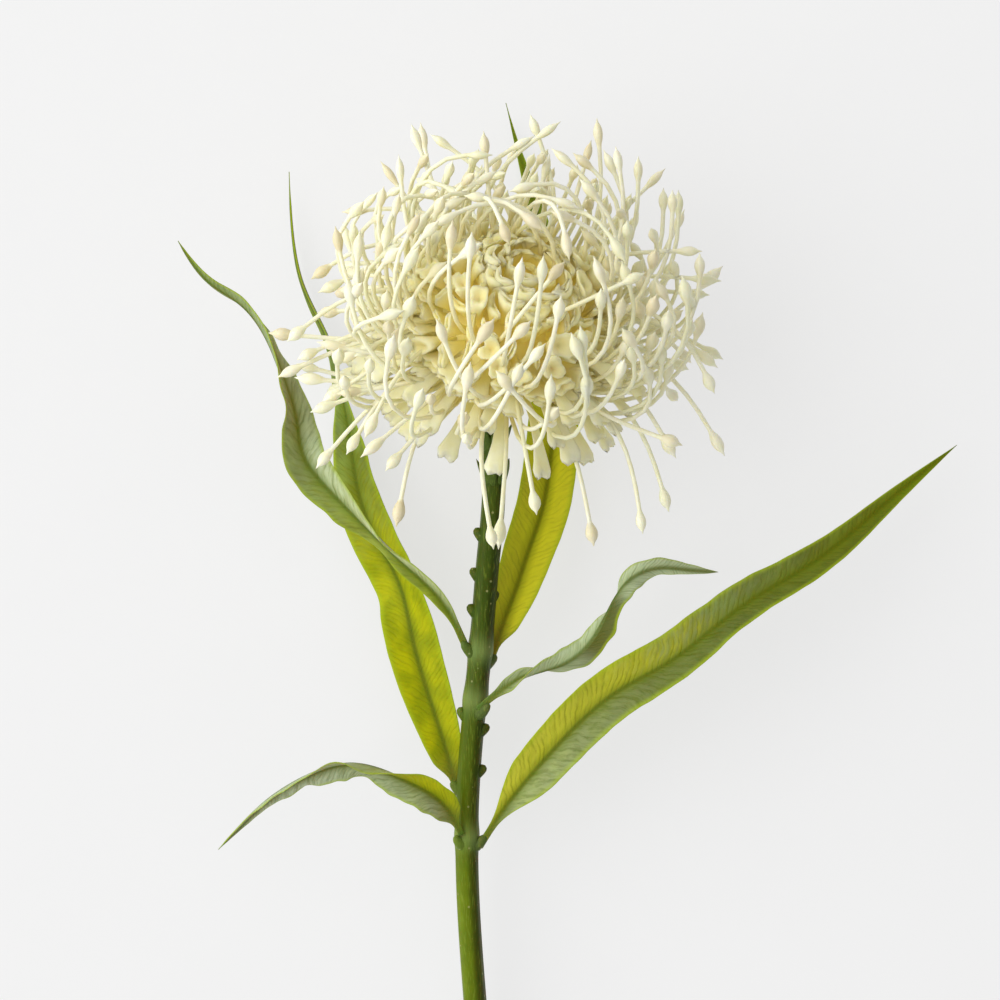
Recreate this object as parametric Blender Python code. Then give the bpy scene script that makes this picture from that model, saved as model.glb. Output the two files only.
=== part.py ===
"""Pincushion protea, one cut flower laid on a table.

X runs across the flower, Y runs along the stem towards the bloom, and Z is up from the table.
Sizes and places are in millimetres. MM turns them into metres where a mesh is made.
"""

import math

import bmesh
import bpy
import numpy as np

MM = 0.001
GAP = 0.35
GOLDEN_ANGLE = math.pi * (3 - math.sqrt(5))

# The bloom: where its centre floats above the table, and the way its crown faces.
HEAD_CENTRE = np.array((-18.7, 102.8, 50.0))
HEAD_AXIS = np.array((0.25, 0.65, 0.72))
CORE_PROFILE = ((-12.5, 4.4), (-11.4, 10.5), (-6.5, 16.5), (0.5, 19.5), (7.5, 17.5), (12.5, 12.5),
                (14.0, 8.0))
CORE_TIP = 10.0
CORE_SIDES = 16

# A style is a thread that ends in a spindle-shaped pollen presenter. The curve of the thread has
# a handle at each end, as a share of its length.
STYLE_ROOT = 12.0
STYLE_RADIUS = 0.8
BULB_RADIUS = 2.1
BULB_LENGTH = 7.2
BULB_BELLY = 0.42
STYLE_SIDES = 3
STYLE_HANDLES = (0.46, 0.44)
THREAD_SHARES = (0, 0.42, 0.74, 1.0)
TURN_BACK_SHARE = 0.6
TURN_BACK_LIMIT = 55
TURN_BACK_HEIGHT = 30.0
OUTLINE_RADIUS = 51.0
FACE_RADIUS = 22.0
SKIRT_RADIUS = 30.0
SKIRT_WIDTH = 140
REST_HEIGHT = 1.6
REST_BAND = 3.0
LEAF_CLEARANCE = 3.2
STYLE_SPAN = 60.0
SLOPE_SHARE = 0.3

# Styles spread over the bloom on an even spiral: how many places it has, of which every second
# one is used, the polar angles it covers, how far its styles reach, and how they curl.
SPIRAL_COUNT = 216
SPIRAL_STEP = 2
SPIRAL_POLAR = (32.0, 134.0)
CROWN_REACH = 43.0
SKIRT_REACH = 51.0
REACH_RISE = (32.0, 82.0)
REACH_SPREAD = (2.0, 9.0)
INWARD_CURLS = ((32, 60), (60, 80), (88, 80))
OUTWARD_CURL = 28
CURL_SPREAD = 0.4
SWIRL = 0.8
SWIRL_FULL_CURL = 60
POLAR_JITTER = 3
TURN_JITTER = 0.1
SKIRT_START = (88, 12)

# A style of the spiral that comes near the table: how near it is when it is bent along it, how
# far it is let down, and how its tip then turns along the stem and a little to the right.
FLOOR_BAND = 7.0
FLOOR_DROP = 2.0
FLOOR_STRETCH = 1.4
FLOOR_DRIFT = 0.02

# Styles read from the bloom's outline and face. Each is its neck's place right of and above the
# bloom's centre, the way its tip points in degrees from +X, and its height over the centre.
PLACED_STYLES = (
    (-27, -43, -100, 10), (-27, -31, -130, 14), (-45, -30, -130, 8), (-38, -26, -120, 12),
    (-33, -21, -115, 25), (-42, -14, -145, 5), (-53, -8, -155, 1), (-49, -9, 165, -4),
    (-49, -4, -155, 3), (-55, 0, 175, -1), (-52, 2, -140, 8), (-39, 6, 100, 30),
    (-43, 15, -155, -14), (-46, 19, -145, -10), (-43, 21, 100, 8), (-38, 18, 85, 22),
    (-41, 23, 105, -10), (-36, 34, -175, -15), (-28, 39, 125, 0), (-27, 39, 95, 10),
    (-22, 48, 110, 5), (-21, 49, 100, -5), (-14, 50, 145, -15), (-5, 46, 95, 8),
    (-10, 46, 0, 15), (1, 48, 30, 5), (9, 52, 110, -5), (8, 51, 35, 5),
    (10, 41, 75, -4), (23, 43, 140, 5), (18, 43, 140, 12), (21, 45, 75, -5),
    (25, 50, 95, -8), (29, 42, 115, 0), (30, 42, 100, 8), (35, 40, 90, 0),
    (37, 39, 45, -8), (42, 33, 90, -10), (44, 32, 90, 0), (46, 32, 90, -10),
    (45, 28, 65, -15), (45, 22, 0, 0), (51, 15, 90, 3),
    (52, 13, 45, -12), (49, 15, -5, -2), (48, 12, -5, -18), (47, 7, 100, 20),
    (50, -1, 75, 2), (52, -3, -30, -5), (50, -4, -40, 4), (52, -10, -65, 8),
    (54, -25, -60, -3), (41, -26, -60, 5), (40, -27, -20, 15), (41, -40, -74, 5),
    (35, -46, -82, 10), (22, -49, -80, 10), (7, -41, -80, 26), (-4, -50, -80, 20),
    (-1, -48, -95, 14), (9, 11, 85, 48), (3, 10, 80, 50), (11, 12, 50, 42),
    (-7, -4, 55, 48), (2, -3, 45, 50), (2, -14, 65, 48), (6, -9, 50, 50),
    (13, 2, 80, 48), (19, -8, 110, 45), (20, -6, 100, 44), (11, -19, 85, 44),
    (2, -16, 130, 47), (-10, -16, 80, 45), (-15, -4, 110, 42), (-9, 17, 85, 45),
    (-14, 20, 85, 36), (25, 11, 110, 40), (30, 12, 25, 30), (-12, 30, -150, 32),
    (-4, 34, 175, 27), (4, 30, -40, 33), (12, 34, -20, 25), (-20, 30, -120, 26),
    (18, 28, 160, 30), (8, 38, -165, 20), (-1, 27, -70, 37), (-8, 38, 30, 20),
    (24, 34, 130, 18), (15, 25, -80, 36), (-16, 38, -30, 16), (-25, 24, 60, 30),
    (-30, 28, -100, 20), (27, 24, -60, 28), (-47, -12, 175, 4), (-44, -18, -160, 8),
    (-37, -15, -172, 17), (-41, -4, 168, 14), (-31, -27, -140, 18),
)

# Styles of the underside that rest on the table, right and left of the leaf that lies there.
RESTING_STYLES = ((27, 4, 10, -48.2), (30, -11, -25, -47.6), (29, 16, 60, -48.2),
                  (-13, 6, 150, -48.2), (-9, -8, 215, -48.2), (-19, 15, 120, -48.2))

# A floret is a funnel that opens into a broad mouth. Those of the crown are short and flat, and
# lean in over its hollow. Down the sides they lean out, and in the skirt they are longer, flat
# and stand apart: there a share of the places is empty, less on the left. Every fifth place of
# their spiral is used, and every third in the skirt, with mouths larger than life that still
# cover the core.
FLORET_COUNT = 340
FLORET_STEP = 5
SKIRT_STEP = 3
FLORET_POLAR = (4.0, 128.0)
FLORET_ROOT = 11.0
FLORET_FOOT_RADIUS = 0.8
FLORET_REACHES = ((0, 20), (8, 22), (16, 26), (26, 28.5), (60, 28.5), (84, 29), (96, 35),
                  (110, 42), (130, 45))
FLORET_BENDS = ((0, 0), (12, -4), (26, -9), (45, -13), (60, -3), (75, 7), (105, 10), (130, 2))
FLORET_MOUTHS = ((0, 1.6), (20, 2.3), (40, 2.9), (60, 3.2), (90, 3.0), (120, 3.0))
FLORET_FLATS = ((0, 0.4), (28, 0.4), (46, 1.0), (60, 1.0), (95, 0.32))
SKIRT_FLORETS = 92
SKIRT_EMPTY = ((-0.7, 0.1), (-0.2, 0.4), (0.6, 0.35))
FLORET_SWELL = 1.35
FLORET_DISH = 1.6
FLORET_PHASE = 2.0
FLORET_SPREADS = ((80, 1.5), (108, 4.5))
FLORET_SIDES = 5
SMALL_TURN = 0.01

# Florets of the skirt on the side of the stem, where the spiral is left empty. Each is its end's
# place right of, above and over the bloom's centre, and half the width of its mouth. It bends away
# from the crown by this many degrees.
STEM_SIDE = -0.3
STEM_SIDE_POLAR = 82
PLACED_BEND = 9
PLACED_FLORETS = (
    (-35, -12, 4, 2.4), (-33, -20, 9, 2.6), (-27, -27, 4, 2.8), (-21, -26, 15, 2.5),
    (-26, -18, 18, 2.5), (-16, -33, 2, 2.8), (-10, -28, 15, 2.9), (-3, -37, 9, 2.6),
    (-5, -26, 19, 2.4), (10, -38, 9, 2.7), (14, -30, 15, 2.6), (18, -24, 20, 2.8),
    (22, -34, 6, 3.3), (28, -30, 1, 3.0), (26, -24, 13, 3.1), (33, -21, 4, 2.9),
    (31, -13, 15, 2.6),
)

# The stem's centre line, from its cut end to the foot of the bloom.
STEM_RADIUS = 3.1
STEM_SIDES = 10
STEM_LINE = (
    (-18.6, -167.8, 3.1),
    (-23.3, -120.3, 9.0),
    (-26.8, -76.0, 14.6),
    (-28.6, -48.6, 18.1),
    (-28.8, -24.0, 21.2),
    (-27.3, -1.0, 24.2),
    (-25.0, 22.0, 27.2),
    (-23.2, 43.5, 30.0),
    (-21.7, 60.8, 32.3),
    (-21.6, 75.5, 34.2),
    (-22.1, 84.8, 36.0),
)
NECK_RADIUS = 4.0
NECK_LENGTH = 6.0
NODE_SHARES = (0.511, 0.655, 0.702)
NODE_SWELLING = 0.13
NODE_LENGTH = 0.013
NODE_CLEARING = 1.5

# Shares of the stem's length with a ring: evenly up to its neck, then closer. Its last rows
# stand these distances below the bloom.
EVEN_RINGS = 15
EVEN_SHARE = 0.94
NECK_SHARES = (0.955, 0.968, 0.978, 0.988, 1.0)
NECK_ROWS = (5.2, 2.4, 0.8)

# Leaf scars: the distance along Y, and the side of the stem in degrees from its right.
SCARS = ((-118, 20), (-84, 250), (-13.6, 5), (-2.3, 12), (1.4, 175), (29.3, 170), (38.9, 185),
         (49.6, 180), (44.0, 300), (33.0, 320))
SCAR_RADII = (1.9, 0.8)
SCAR_HEIGHT = 2.0
SCAR_ROOT = 1.4
SCAR_LEAN = 0.9
SCAR_SIDES = 5

# Small scale leaves round the neck, in two rows: place along Y, how many, and length.
BRACT_ROWS = ((63.5, 5, 7.0), (72.5, 6, 8.0))
BRACT_OUTLINE = ((0.0, 0.75), (0.45, 1.0), (0.85, 0.45))
BRACT_HALF_WIDTH = 1.8
BRACT_THICKNESS = 0.8
BRACT_SPREAD = 0.32
BRACT_CURVE = 1.5
BRACT_ROOT = 0.6
BRACT_TIP_ROOT = 0.2

# Each leaf: half width, two exponents that set where it is widest, fold at the midrib in
# degrees, the share of its length that narrows into a petiole, and the midrib as rows of x, y, z
# and the blade's roll in degrees.
BLADE_THICKNESS = 0.7
BLADE_STEPS = 15
CLEARANCE_STEPS = 40
PETIOLE_HALF_WIDTH = 0.9
TIP_HALF_WIDTH = 0.4
LEAVES = {
    "leaf_upper_left": (5.8, 1.1, 1.1, 15, 0.1, (
        (-29.2, 20.4, 28.4, 10), (-35.2, 32.0, 32.0, 25), (-46.6, 43.5, 35.0, 62),
        (-51.9, 48.6, 35.0, 74), (-59.4, 56.0, 35.0, 45), (-68.0, 64.8, 34.0, 12),
        (-72.2, 70.7, 34.0, -8), (-74.3, 80.8, 34.5, -42), (-77.4, 91.1, 36.0, -68),
        (-81.6, 102.0, 38.0, -85), (-88.9, 111.7, 40.0, -108), (-95.9, 116.4, 42.0, -120),
        (-105.0, 127.9, 44.0, -130),
    )),
    "leaf_behind_left": (7.6, 0.55, 1.45, 15, 0.05, (
        (-31.6, -18.6, 19.0, 8), (-35.4, -5.4, 18.0, 8), (-38.9, 5.4, 17.0, 8),
        (-43.6, 21.6, 15.0, 12), (-47.1, 36.4, 13.0, 34), (-54.8, 51.3, 10.5, 18),
        (-58.7, 62.2, 8.0, 20), (-60.7, 74.5, 6.0, 36), (-62.9, 88.2, 5.2, 64),
        (-65.9, 100.5, 5.0, 74), (-69.8, 109.3, 4.6, 76), (-73.9, 118.3, 4.2, 77),
        (-76.4, 129.3, 4.0, 78), (-77.7, 149.3, 4.0, 70),
    )),
    "leaf_lower_left": (5.8, 0.5, 1.2, 28, 0.08, (
        (-31.0, -29.0, 24.5, 0), (-33.0, -25.0, 26.4, 0), (-37.0, -20.4, 29.4, 5),
        (-43.5, -16.2, 32.0, 25), (-48.6, -13.8, 33.0, 58), (-53.6, -12.0, 33.2, 76),
        (-60.6, -11.0, 33.0, 62), (-70.3, -13.8, 30.0, 60), (-77.7, -18.0, 25.0, 72),
        (-84.8, -23.4, 19.0, 66), (-92.0, -30.7, 12.5, 55), (-96.7, -35.7, 9.0, 40),
    )),
    "leaf_lower_right": (7.7, 0.45, 1.0, 24, 0.15, (
        (-24.6, -32.5, 21.2, 0), (-18.7, -23.2, 25.0, 0), (-9.3, -11.4, 29.0, 0),
        (1.4, 0.2, 31.5, 2), (12.0, 8.8, 33.0, 8), (22.6, 14.7, 33.5, 16),
        (33.3, 22.2, 33.0, 22), (44.1, 30.7, 32.0, 24), (60.3, 40.5, 29.0, 14),
        (71.2, 48.0, 26.0, 4), (82.3, 57.3, 22.5, -2), (93.4, 66.3, 19.0, 0),
        (103.7, 74.4, 16.0, 0),
    )),
    "leaf_middle_right": (4.2, 0.8, 0.9, 26, 0.12, (
        (-24.6, 4.6, 28.4, 10), (-18.7, 9.2, 30.0, 20), (-11.4, 13.2, 32.0, 82),
        (-4.0, 15.5, 33.5, 150), (1.6, 18.9, 34.2, 186), (6.9, 25.9, 34.7, 222),
        (10.6, 32.9, 34.7, 252), (15.2, 38.6, 34.0, 194), (21.3, 41.3, 33.0, 165),
        (29.4, 41.0, 31.0, 165), (38.4, 40.2, 28.5, 170),
    )),
    "leaf_behind_bloom": (7.6, 0.6, 1.35, 16, 0.06, (
        (-22.2, 17.2, 23.8, 10), (-19.3, 25.8, 22.0, 5), (-15.8, 35.2, 19.5, 0),
        (-12.2, 46.0, 16.0, 0), (-8.6, 56.8, 12.5, 0), (-6.6, 67.7, 9.0, 0),
        (-5.4, 81.4, 4.2, 0), (-5.2, 97.9, 1.4, 0), (-5.7, 114.3, 0.5, 0),
        (-8.2, 130.8, 0.5, 0), (-12.0, 145.9, 1.3, 10), (-15.3, 156.8, 2.5, 30),
        (-18.4, 168.1, 4.5, 45),
    )),
}

SHADING_ANGLE = 50
COLOURS = {
    "bloom": (0.86, 0.83, 0.66, 1),
    "stem": (0.16, 0.24, 0.06, 1),
    "leaf": (0.22, 0.31, 0.10, 1),
}


def unit(vector):
    """The vector, or each row of an array of them, at length one."""
    vector = np.asarray(vector, float)
    return vector / np.linalg.norm(vector, axis=-1, keepdims=True)


def scatter(index, salt):
    """A fixed draw from -1 to 1 for each index: the fraction of a large sine."""
    return 2 * ((math.sin(index * 12.9898 + salt * 78.233) * 43758.5453) % 1.0) - 1


def smooth_path(rows, shares):
    """Natural cubic spline through rows, read at the given shares of its length."""
    rows = np.asarray(rows, float)
    steps = np.linalg.norm(np.diff(rows[:, :3], axis=0), axis=1)
    knots = np.concatenate(([0], np.cumsum(steps)))
    slopes = np.diff(rows, axis=0) / steps[:, None]
    matrix = np.eye(len(rows))
    bends = np.zeros_like(rows)
    for i in range(1, len(rows) - 1):
        matrix[i, i - 1:i + 2] = steps[i - 1], 2 * (steps[i - 1] + steps[i]), steps[i]
        bends[i] = 6 * (slopes[i] - slopes[i - 1])
    bends = np.linalg.solve(matrix, bends)
    at = np.asarray(shares) * knots[-1]
    i = np.clip(np.searchsorted(knots, at, side="right") - 1, 0, len(steps) - 1)
    h = steps[i][:, None]
    a = (knots[i + 1] - at)[:, None] / h
    b = 1 - a
    cubic = (a ** 3 - a) * bends[i] + (b ** 3 - b) * bends[i + 1]
    return a * rows[i] + b * rows[i + 1] + cubic * h * h / 6


def rings_to_faces(ring_count, ring_size):
    """Triangles between closed rings of points that follow one another."""
    faces = []
    for r in range(ring_count - 1):
        for k in range(ring_size):
            a = r * ring_size + k
            b = r * ring_size + (k + 1) % ring_size
            faces.append((a, b, b + ring_size))
            faces.append((a, b + ring_size, a + ring_size))
    return faces


def cap(first, ring_size):
    """Triangles that close one ring as a fan from its first point."""
    return [(first, first + k, first + k + 1) for k in range(1, ring_size - 1)]


def make_object(name, points, faces, material=None):
    """A closed mesh object whose faces point outwards, from points in millimetres."""
    mesh = bpy.data.meshes.new(name)
    mesh.from_pydata((np.asarray(points) * MM).tolist(), [], faces)
    work = bmesh.new()
    work.from_mesh(mesh)
    bmesh.ops.recalc_face_normals(work, faces=work.faces)
    work.to_mesh(mesh)
    work.free()
    if material:
        mesh.materials.append(material)
    made = bpy.data.objects.new(name, mesh)
    bpy.context.scene.collection.objects.link(made)
    return made


def plant_material(name, colour):
    """A soft, dull plant surface of one colour."""
    material = bpy.data.materials.new(name)
    material.use_nodes = True
    shader = material.node_tree.nodes["Principled BSDF"]
    shader.inputs["Base Color"].default_value = colour
    shader.inputs["Roughness"].default_value = 0.6
    shader.inputs["Metallic"].default_value = 0.0
    return material


def tube(name, path, radii, sides, material=None, point=None):
    """Rings of the given radii square to a path, closed by a flat end or by a point."""
    path = np.asarray(path, float)
    tangents = unit(np.gradient(path, axis=0))
    side = np.cross(tangents[0], (0, 0, 1))
    if np.linalg.norm(side) < 0.1:
        side = np.cross(tangents[0], (1, 0, 0))
    turn = np.linspace(0, 2 * math.pi, sides, endpoint=False)
    points = []
    for centre, tangent, radius in zip(path, tangents, radii):
        side = unit(side - tangent * np.dot(side, tangent))
        up = np.cross(side, tangent)
        points.append(centre + radius * (np.outer(np.cos(turn), side) + np.outer(np.sin(turn), up)))
    faces = rings_to_faces(len(path), sides) + cap(0, sides)
    last = (len(path) - 1) * sides
    points = np.concatenate(points)
    if point is None:
        faces += cap(last, sides)
    else:
        points = np.vstack((points, point))
        faces += [(last + k, last + (k + 1) % sides, len(points) - 1) for k in range(sides)]
    return make_object(name, points, faces, material)


def fuse(base, pieces):
    """Joins pieces to base with one Boolean union, then keeps its one outer body."""
    group = bpy.data.collections.new("pieces_of_" + base.name)
    bpy.context.scene.collection.children.link(group)
    for piece in pieces:
        bpy.context.scene.collection.objects.unlink(piece)
        group.objects.link(piece)
    union = base.modifiers.new("union", "BOOLEAN")
    union.operation = "UNION"
    union.operand_type = "COLLECTION"
    union.collection = group
    bpy.context.view_layer.update()
    joined = bpy.data.meshes.new_from_object(base.evaluated_get(bpy.context.evaluated_depsgraph_get()))
    base.modifiers.remove(union)
    base.data = joined
    for piece in pieces:
        bpy.data.objects.remove(piece)
    bpy.data.collections.remove(group)
    keep_largest_body(joined)


def keep_largest_body(mesh):
    """Drops the sealed hollows and loose scraps that a union leaves beside the main body."""
    work = bmesh.new()
    work.from_mesh(mesh)
    left = set(work.verts)
    bodies = []
    while left:
        body = set()
        front = [left.pop()]
        while front:
            vert = front.pop()
            body.add(vert)
            for edge in vert.link_edges:
                other = edge.other_vert(vert)
                if other in left:
                    left.remove(other)
                    front.append(other)
        bodies.append(body)
    largest = max(bodies, key=len)
    scrap = [vert for body in bodies if body is not largest for vert in body]
    bmesh.ops.delete(work, geom=scrap, context="VERTS")
    work.to_mesh(mesh)
    work.free()


def blade_grid(leaf, steps):
    """A leaf's middle surface as steps by 5 points, with its normals.

    Along the midrib the half width is s^p (1-s)^q, scaled to peak at the leaf's half width and
    eased in over the petiole. Each half of the blade rises from the midrib by the fold, and the
    whole turns by the roll.
    """
    half_width, p, q, fold, petiole, rows = leaf
    line = smooth_path(rows, np.linspace(0, 1, steps))
    spine = line[:, :3]
    roll = np.radians(line[:, 3])
    tangent = unit(np.gradient(spine, axis=0))
    flat_side = unit(np.cross(tangent, (0, 0, 1)))
    flat_normal = np.cross(flat_side, tangent)
    side = np.cos(roll)[:, None] * flat_side + np.sin(roll)[:, None] * flat_normal
    normal = np.cos(roll)[:, None] * flat_normal - np.sin(roll)[:, None] * flat_side
    s = np.linspace(0, 1, steps)
    widest = p / (p + q)
    shape = (s ** p * (1 - s) ** q) / (widest ** p * (1 - widest) ** q)
    ease = np.clip(s / petiole, 0, 1)
    narrowest = PETIOLE_HALF_WIDTH + (TIP_HALF_WIDTH - PETIOLE_HALF_WIDTH) * s
    width = np.maximum(half_width * shape * ease ** 2 * (3 - 2 * ease), narrowest)
    across = np.array((-1, -0.5, 0, 0.5, 1))
    rise = math.radians(fold) * np.sign(across)
    sideways = across * np.cos(rise)
    upwards = np.abs(across * np.sin(rise))
    grid = spine[:, None] + width[:, None, None] * (
        sideways[None, :, None] * side[:, None] + upwards[None, :, None] * normal[:, None])
    lean = np.array((1, 1, 0, -1, -1))[None, :, None] * math.sin(math.radians(fold))
    normals = unit(normal[:, None] + lean * side[:, None])
    return grid, normals


def make_leaf(name, leaf, material):
    """A leaf blade of even thickness, split into triangles alike on both faces."""
    grid, normals = blade_grid(leaf, BLADE_STEPS)
    steps, across = grid.shape[:2]
    upper = (grid + normals * BLADE_THICKNESS / 2).reshape(-1, 3)
    lower = (grid - normals * BLADE_THICKNESS / 2).reshape(-1, 3)
    under = len(upper)
    faces = []
    for r in range(steps - 1):
        for k in range(across - 1):
            a = r * across + k
            for face in ((a, a + 1, a + 1 + across), (a, a + 1 + across, a + across)):
                faces.append(face)
                faces.append(tuple(v + under for v in reversed(face)))
    rim = [r * across for r in range(steps)]
    rim += [(steps - 1) * across + k for k in range(1, across)]
    rim += [r * across + across - 1 for r in range(steps - 2, -1, -1)]
    rim += [k for k in range(across - 2, 0, -1)]
    for a, b in zip(rim, rim[1:] + rim[:1]):
        faces.append((a, b, b + under))
        faces.append((a, b + under, a + under))
    return make_object(name, np.vstack((upper, lower)), faces, material)


def bloom_axes():
    """The bloom's axis, and two directions square to it and to each other."""
    axis = unit(HEAD_AXIS)
    right = unit(np.cross((0, 1, 0), axis))
    return axis, right, np.cross(axis, right)


def polar_direction(polar, turn):
    """The direction at a polar angle from the bloom's axis, turned round it."""
    axis, right, other = bloom_axes()
    outward = math.cos(turn) * right + math.sin(turn) * other
    return math.cos(polar) * axis + math.sin(polar) * outward


def style_line(neck, aim):
    """A style's centre line and tip, from its neck and the way its bulb points.

    It leaves the core along the line to its neck, turned back by half the angle that the bulb is
    turned on, so that its thread is one even arc. Towards the table it is turned back less.
    """
    chord = unit(neck)
    across = aim - chord * np.dot(aim, chord)
    turned = math.acos(max(-1.0, min(1.0, float(np.dot(aim, chord)))))
    back = min(turned * TURN_BACK_SHARE, math.radians(TURN_BACK_LIMIT))
    back *= min(1.0, max(0.0, (neck[2] + HEAD_CENTRE[2]) / TURN_BACK_HEIGHT))
    start = chord
    if np.linalg.norm(across) > 1e-3:
        start = math.cos(back) * chord - math.sin(back) * unit(across)
    root = STYLE_ROOT * start
    length = np.linalg.norm(neck - root)
    first = root + start * length * STYLE_HANDLES[0]
    second = neck - aim * length * STYLE_HANDLES[1]
    t = np.array(THREAD_SHARES)[:, None]
    curve = ((1 - t) ** 3 * root + 3 * (1 - t) ** 2 * t * first
             + 3 * (1 - t) * t ** 2 * second + t ** 3 * neck)
    belly = neck + aim * BULB_LENGTH * BULB_BELLY
    return HEAD_CENTRE + np.vstack((curve, belly)), HEAD_CENTRE + neck + aim * BULB_LENGTH


def placed_style(across, up, bearing, lift):
    """The neck and aim of a style from its row in the tables.

    It points up or down by a share of the angle at which its neck stands over the centre, except
    on the table, where it lies flat.
    """
    resting = lift < REST_HEIGHT - HEAD_CENTRE[2] + REST_BAND
    slope = 0 if resting else SLOPE_SHARE * math.asin(lift / STYLE_SPAN)
    bearing = math.radians(bearing)
    aim = (math.cos(slope) * math.cos(bearing), math.cos(slope) * math.sin(bearing), math.sin(slope))
    return np.array((across, up, lift), float), np.array(aim)


def even_polar(index, count, limits):
    """The polar angle at one place of a spiral that shares out a sphere between two angles."""
    top, bottom = (math.cos(math.radians(angle)) for angle in limits)
    return math.acos(top + (bottom - top) * (index + 0.5) / count)


def spread_style(index):
    """The neck and aim of the style at one place of the spiral.

    Styles of the crown curl in towards the axis, and those of the skirt curl out. One that would
    pass through the table is bent along it.
    """
    polar = even_polar(index, SPIRAL_COUNT, SPIRAL_POLAR)
    polar += math.radians(POLAR_JITTER) * scatter(index, 1)
    turn = index * GOLDEN_ANGLE + TURN_JITTER * scatter(index, 2)
    degrees = math.degrees(polar)
    curl = -np.interp(degrees, *zip(*INWARD_CURLS))
    if degrees > SKIRT_START[0] + SKIRT_START[1] * scatter(index, 4):
        curl = OUTWARD_CURL
    curl *= 1 + CURL_SPREAD * scatter(index, 3)
    swirl = SWIRL * min(1, abs(curl) / SWIRL_FULL_CURL) * scatter(index, 5)
    aim = polar_direction(polar + math.radians(curl), turn + swirl)
    reach = np.interp(degrees, REACH_RISE, (CROWN_REACH, SKIRT_REACH))
    reach += REACH_SPREAD[0] * scatter(index, 6) - REACH_SPREAD[1] * max(0, scatter(index, 14))
    neck = reach * polar_direction(polar, turn)
    lowest = REST_HEIGHT - HEAD_CENTRE[2]
    if neck[2] < lowest + FLOOR_BAND:
        neck[2] = max(neck[2] - FLOOR_DROP, lowest)
        aim = unit((aim[0] + FLOOR_DRIFT, FLOOR_STRETCH * aim[1], 0))
    return neck, aim


def style_lines(leaf_points):
    """Every style's centre line and tip: the placed ones, then those of the spiral that stay
    inside the placed outline, off the middle of its face, out of the open skirt round the stem
    and clear of the leaves."""
    lines = [style_line(*placed_style(*row)) for row in PLACED_STYLES + RESTING_STYLES]
    for index in range(0, SPIRAL_COUNT, SPIRAL_STEP):
        line, tip = style_line(*spread_style(index))
        across, up, lift = tip - HEAD_CENTRE
        out = math.hypot(across, up)
        from_stem = abs(math.degrees(math.atan2(across, -up)))
        in_skirt = out > SKIRT_RADIUS and from_stem < SKIRT_WIDTH / 2
        if out > OUTLINE_RADIUS or in_skirt or (out < FACE_RADIUS and lift > 0):
            continue
        points = np.vstack((line[1:], tip))
        nearest = np.linalg.norm(points[:, None] - leaf_points[None], axis=2).min()
        if nearest > LEAF_CLEARANCE:
            lines.append((line, tip))
    return lines


def make_style(index, line, tip):
    """One style: a thin thread, swelling into its bulb and ending in a point."""
    radii = [STYLE_RADIUS] * (len(line) - 1) + [BULB_RADIUS]
    style = tube(f"style_{index}", line, radii, STYLE_SIDES, point=tip)
    for vertex in style.data.vertices:
        vertex.co.z = max(vertex.co.z, 0)
    return style


def floret_grows(index):
    """Whether a place of the florets' spiral is used."""
    polar = even_polar(index, FLORET_COUNT, FLORET_POLAR)
    rightward, upward = polar_direction(polar, index * GOLDEN_ANGLE + FLORET_PHASE)[:2]
    degrees = math.degrees(polar)
    if upward < STEM_SIDE and degrees > STEM_SIDE_POLAR:
        return False
    if degrees < SKIRT_FLORETS:
        return index % FLORET_STEP == 0
    empty = np.interp(rightward, *zip(*SKIRT_EMPTY))
    return index % SKIRT_STEP == 0 and scatter(index, 17) > 2 * empty - 1


def spiral_floret(index):
    """Polar angle, turn, bend, reach and half width of the floret at one place of the spiral."""
    polar = even_polar(index, FLORET_COUNT, FLORET_POLAR)
    degrees = math.degrees(polar)
    spread = np.interp(degrees, *zip(*FLORET_SPREADS))
    reach = np.interp(degrees, *zip(*FLORET_REACHES)) + spread * scatter(index, 7)
    bend = math.radians(np.interp(degrees, *zip(*FLORET_BENDS)))
    half_width = np.interp(degrees, *zip(*FLORET_MOUTHS))
    return polar, index * GOLDEN_ANGLE + FLORET_PHASE, bend, reach, half_width


def placed_floret(across, up, lift, half_width):
    """The same five sizes for a floret that is placed by its end."""
    axis, right, other = bloom_axes()
    end = np.array((across, up, lift), float)
    reach = np.linalg.norm(end)
    bend = math.radians(PLACED_BEND)
    polar = math.acos(np.dot(end, axis) / reach) - bend
    return polar, math.atan2(np.dot(end, other), np.dot(end, right)), bend, reach, half_width


def make_floret(number, polar, turn, bend, reach, half_width):
    """One floret: a five-sided funnel from the core, with a dished mouth."""
    mouth = FLORET_SWELL * half_width
    flat = np.interp(math.degrees(polar), *zip(*FLORET_FLATS))
    corners = np.linspace(0, 2 * math.pi, FLORET_SIDES, endpoint=False)
    rings = []
    for lean, length, radius in ((0, FLORET_ROOT, FLORET_FOOT_RADIUS), (bend, reach, mouth)):
        out = polar_direction(polar + lean, turn)
        back = unit(out - polar_direction(polar + lean + SMALL_TURN, turn))
        across = np.outer(np.cos(corners), np.cross(out, back)) + flat * np.outer(np.sin(corners), back)
        rings.append(HEAD_CENTRE + out * length + radius * across)
    points = np.vstack((*rings, HEAD_CENTRE + out * (reach - FLORET_DISH)))
    first, last = FLORET_SIDES, 2 * FLORET_SIDES
    faces = rings_to_faces(2, FLORET_SIDES) + cap(0, FLORET_SIDES)
    faces += [(first + k, first + (k + 1) % FLORET_SIDES, last) for k in range(FLORET_SIDES)]
    return make_object(f"floret_{number}", points, faces)


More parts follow.
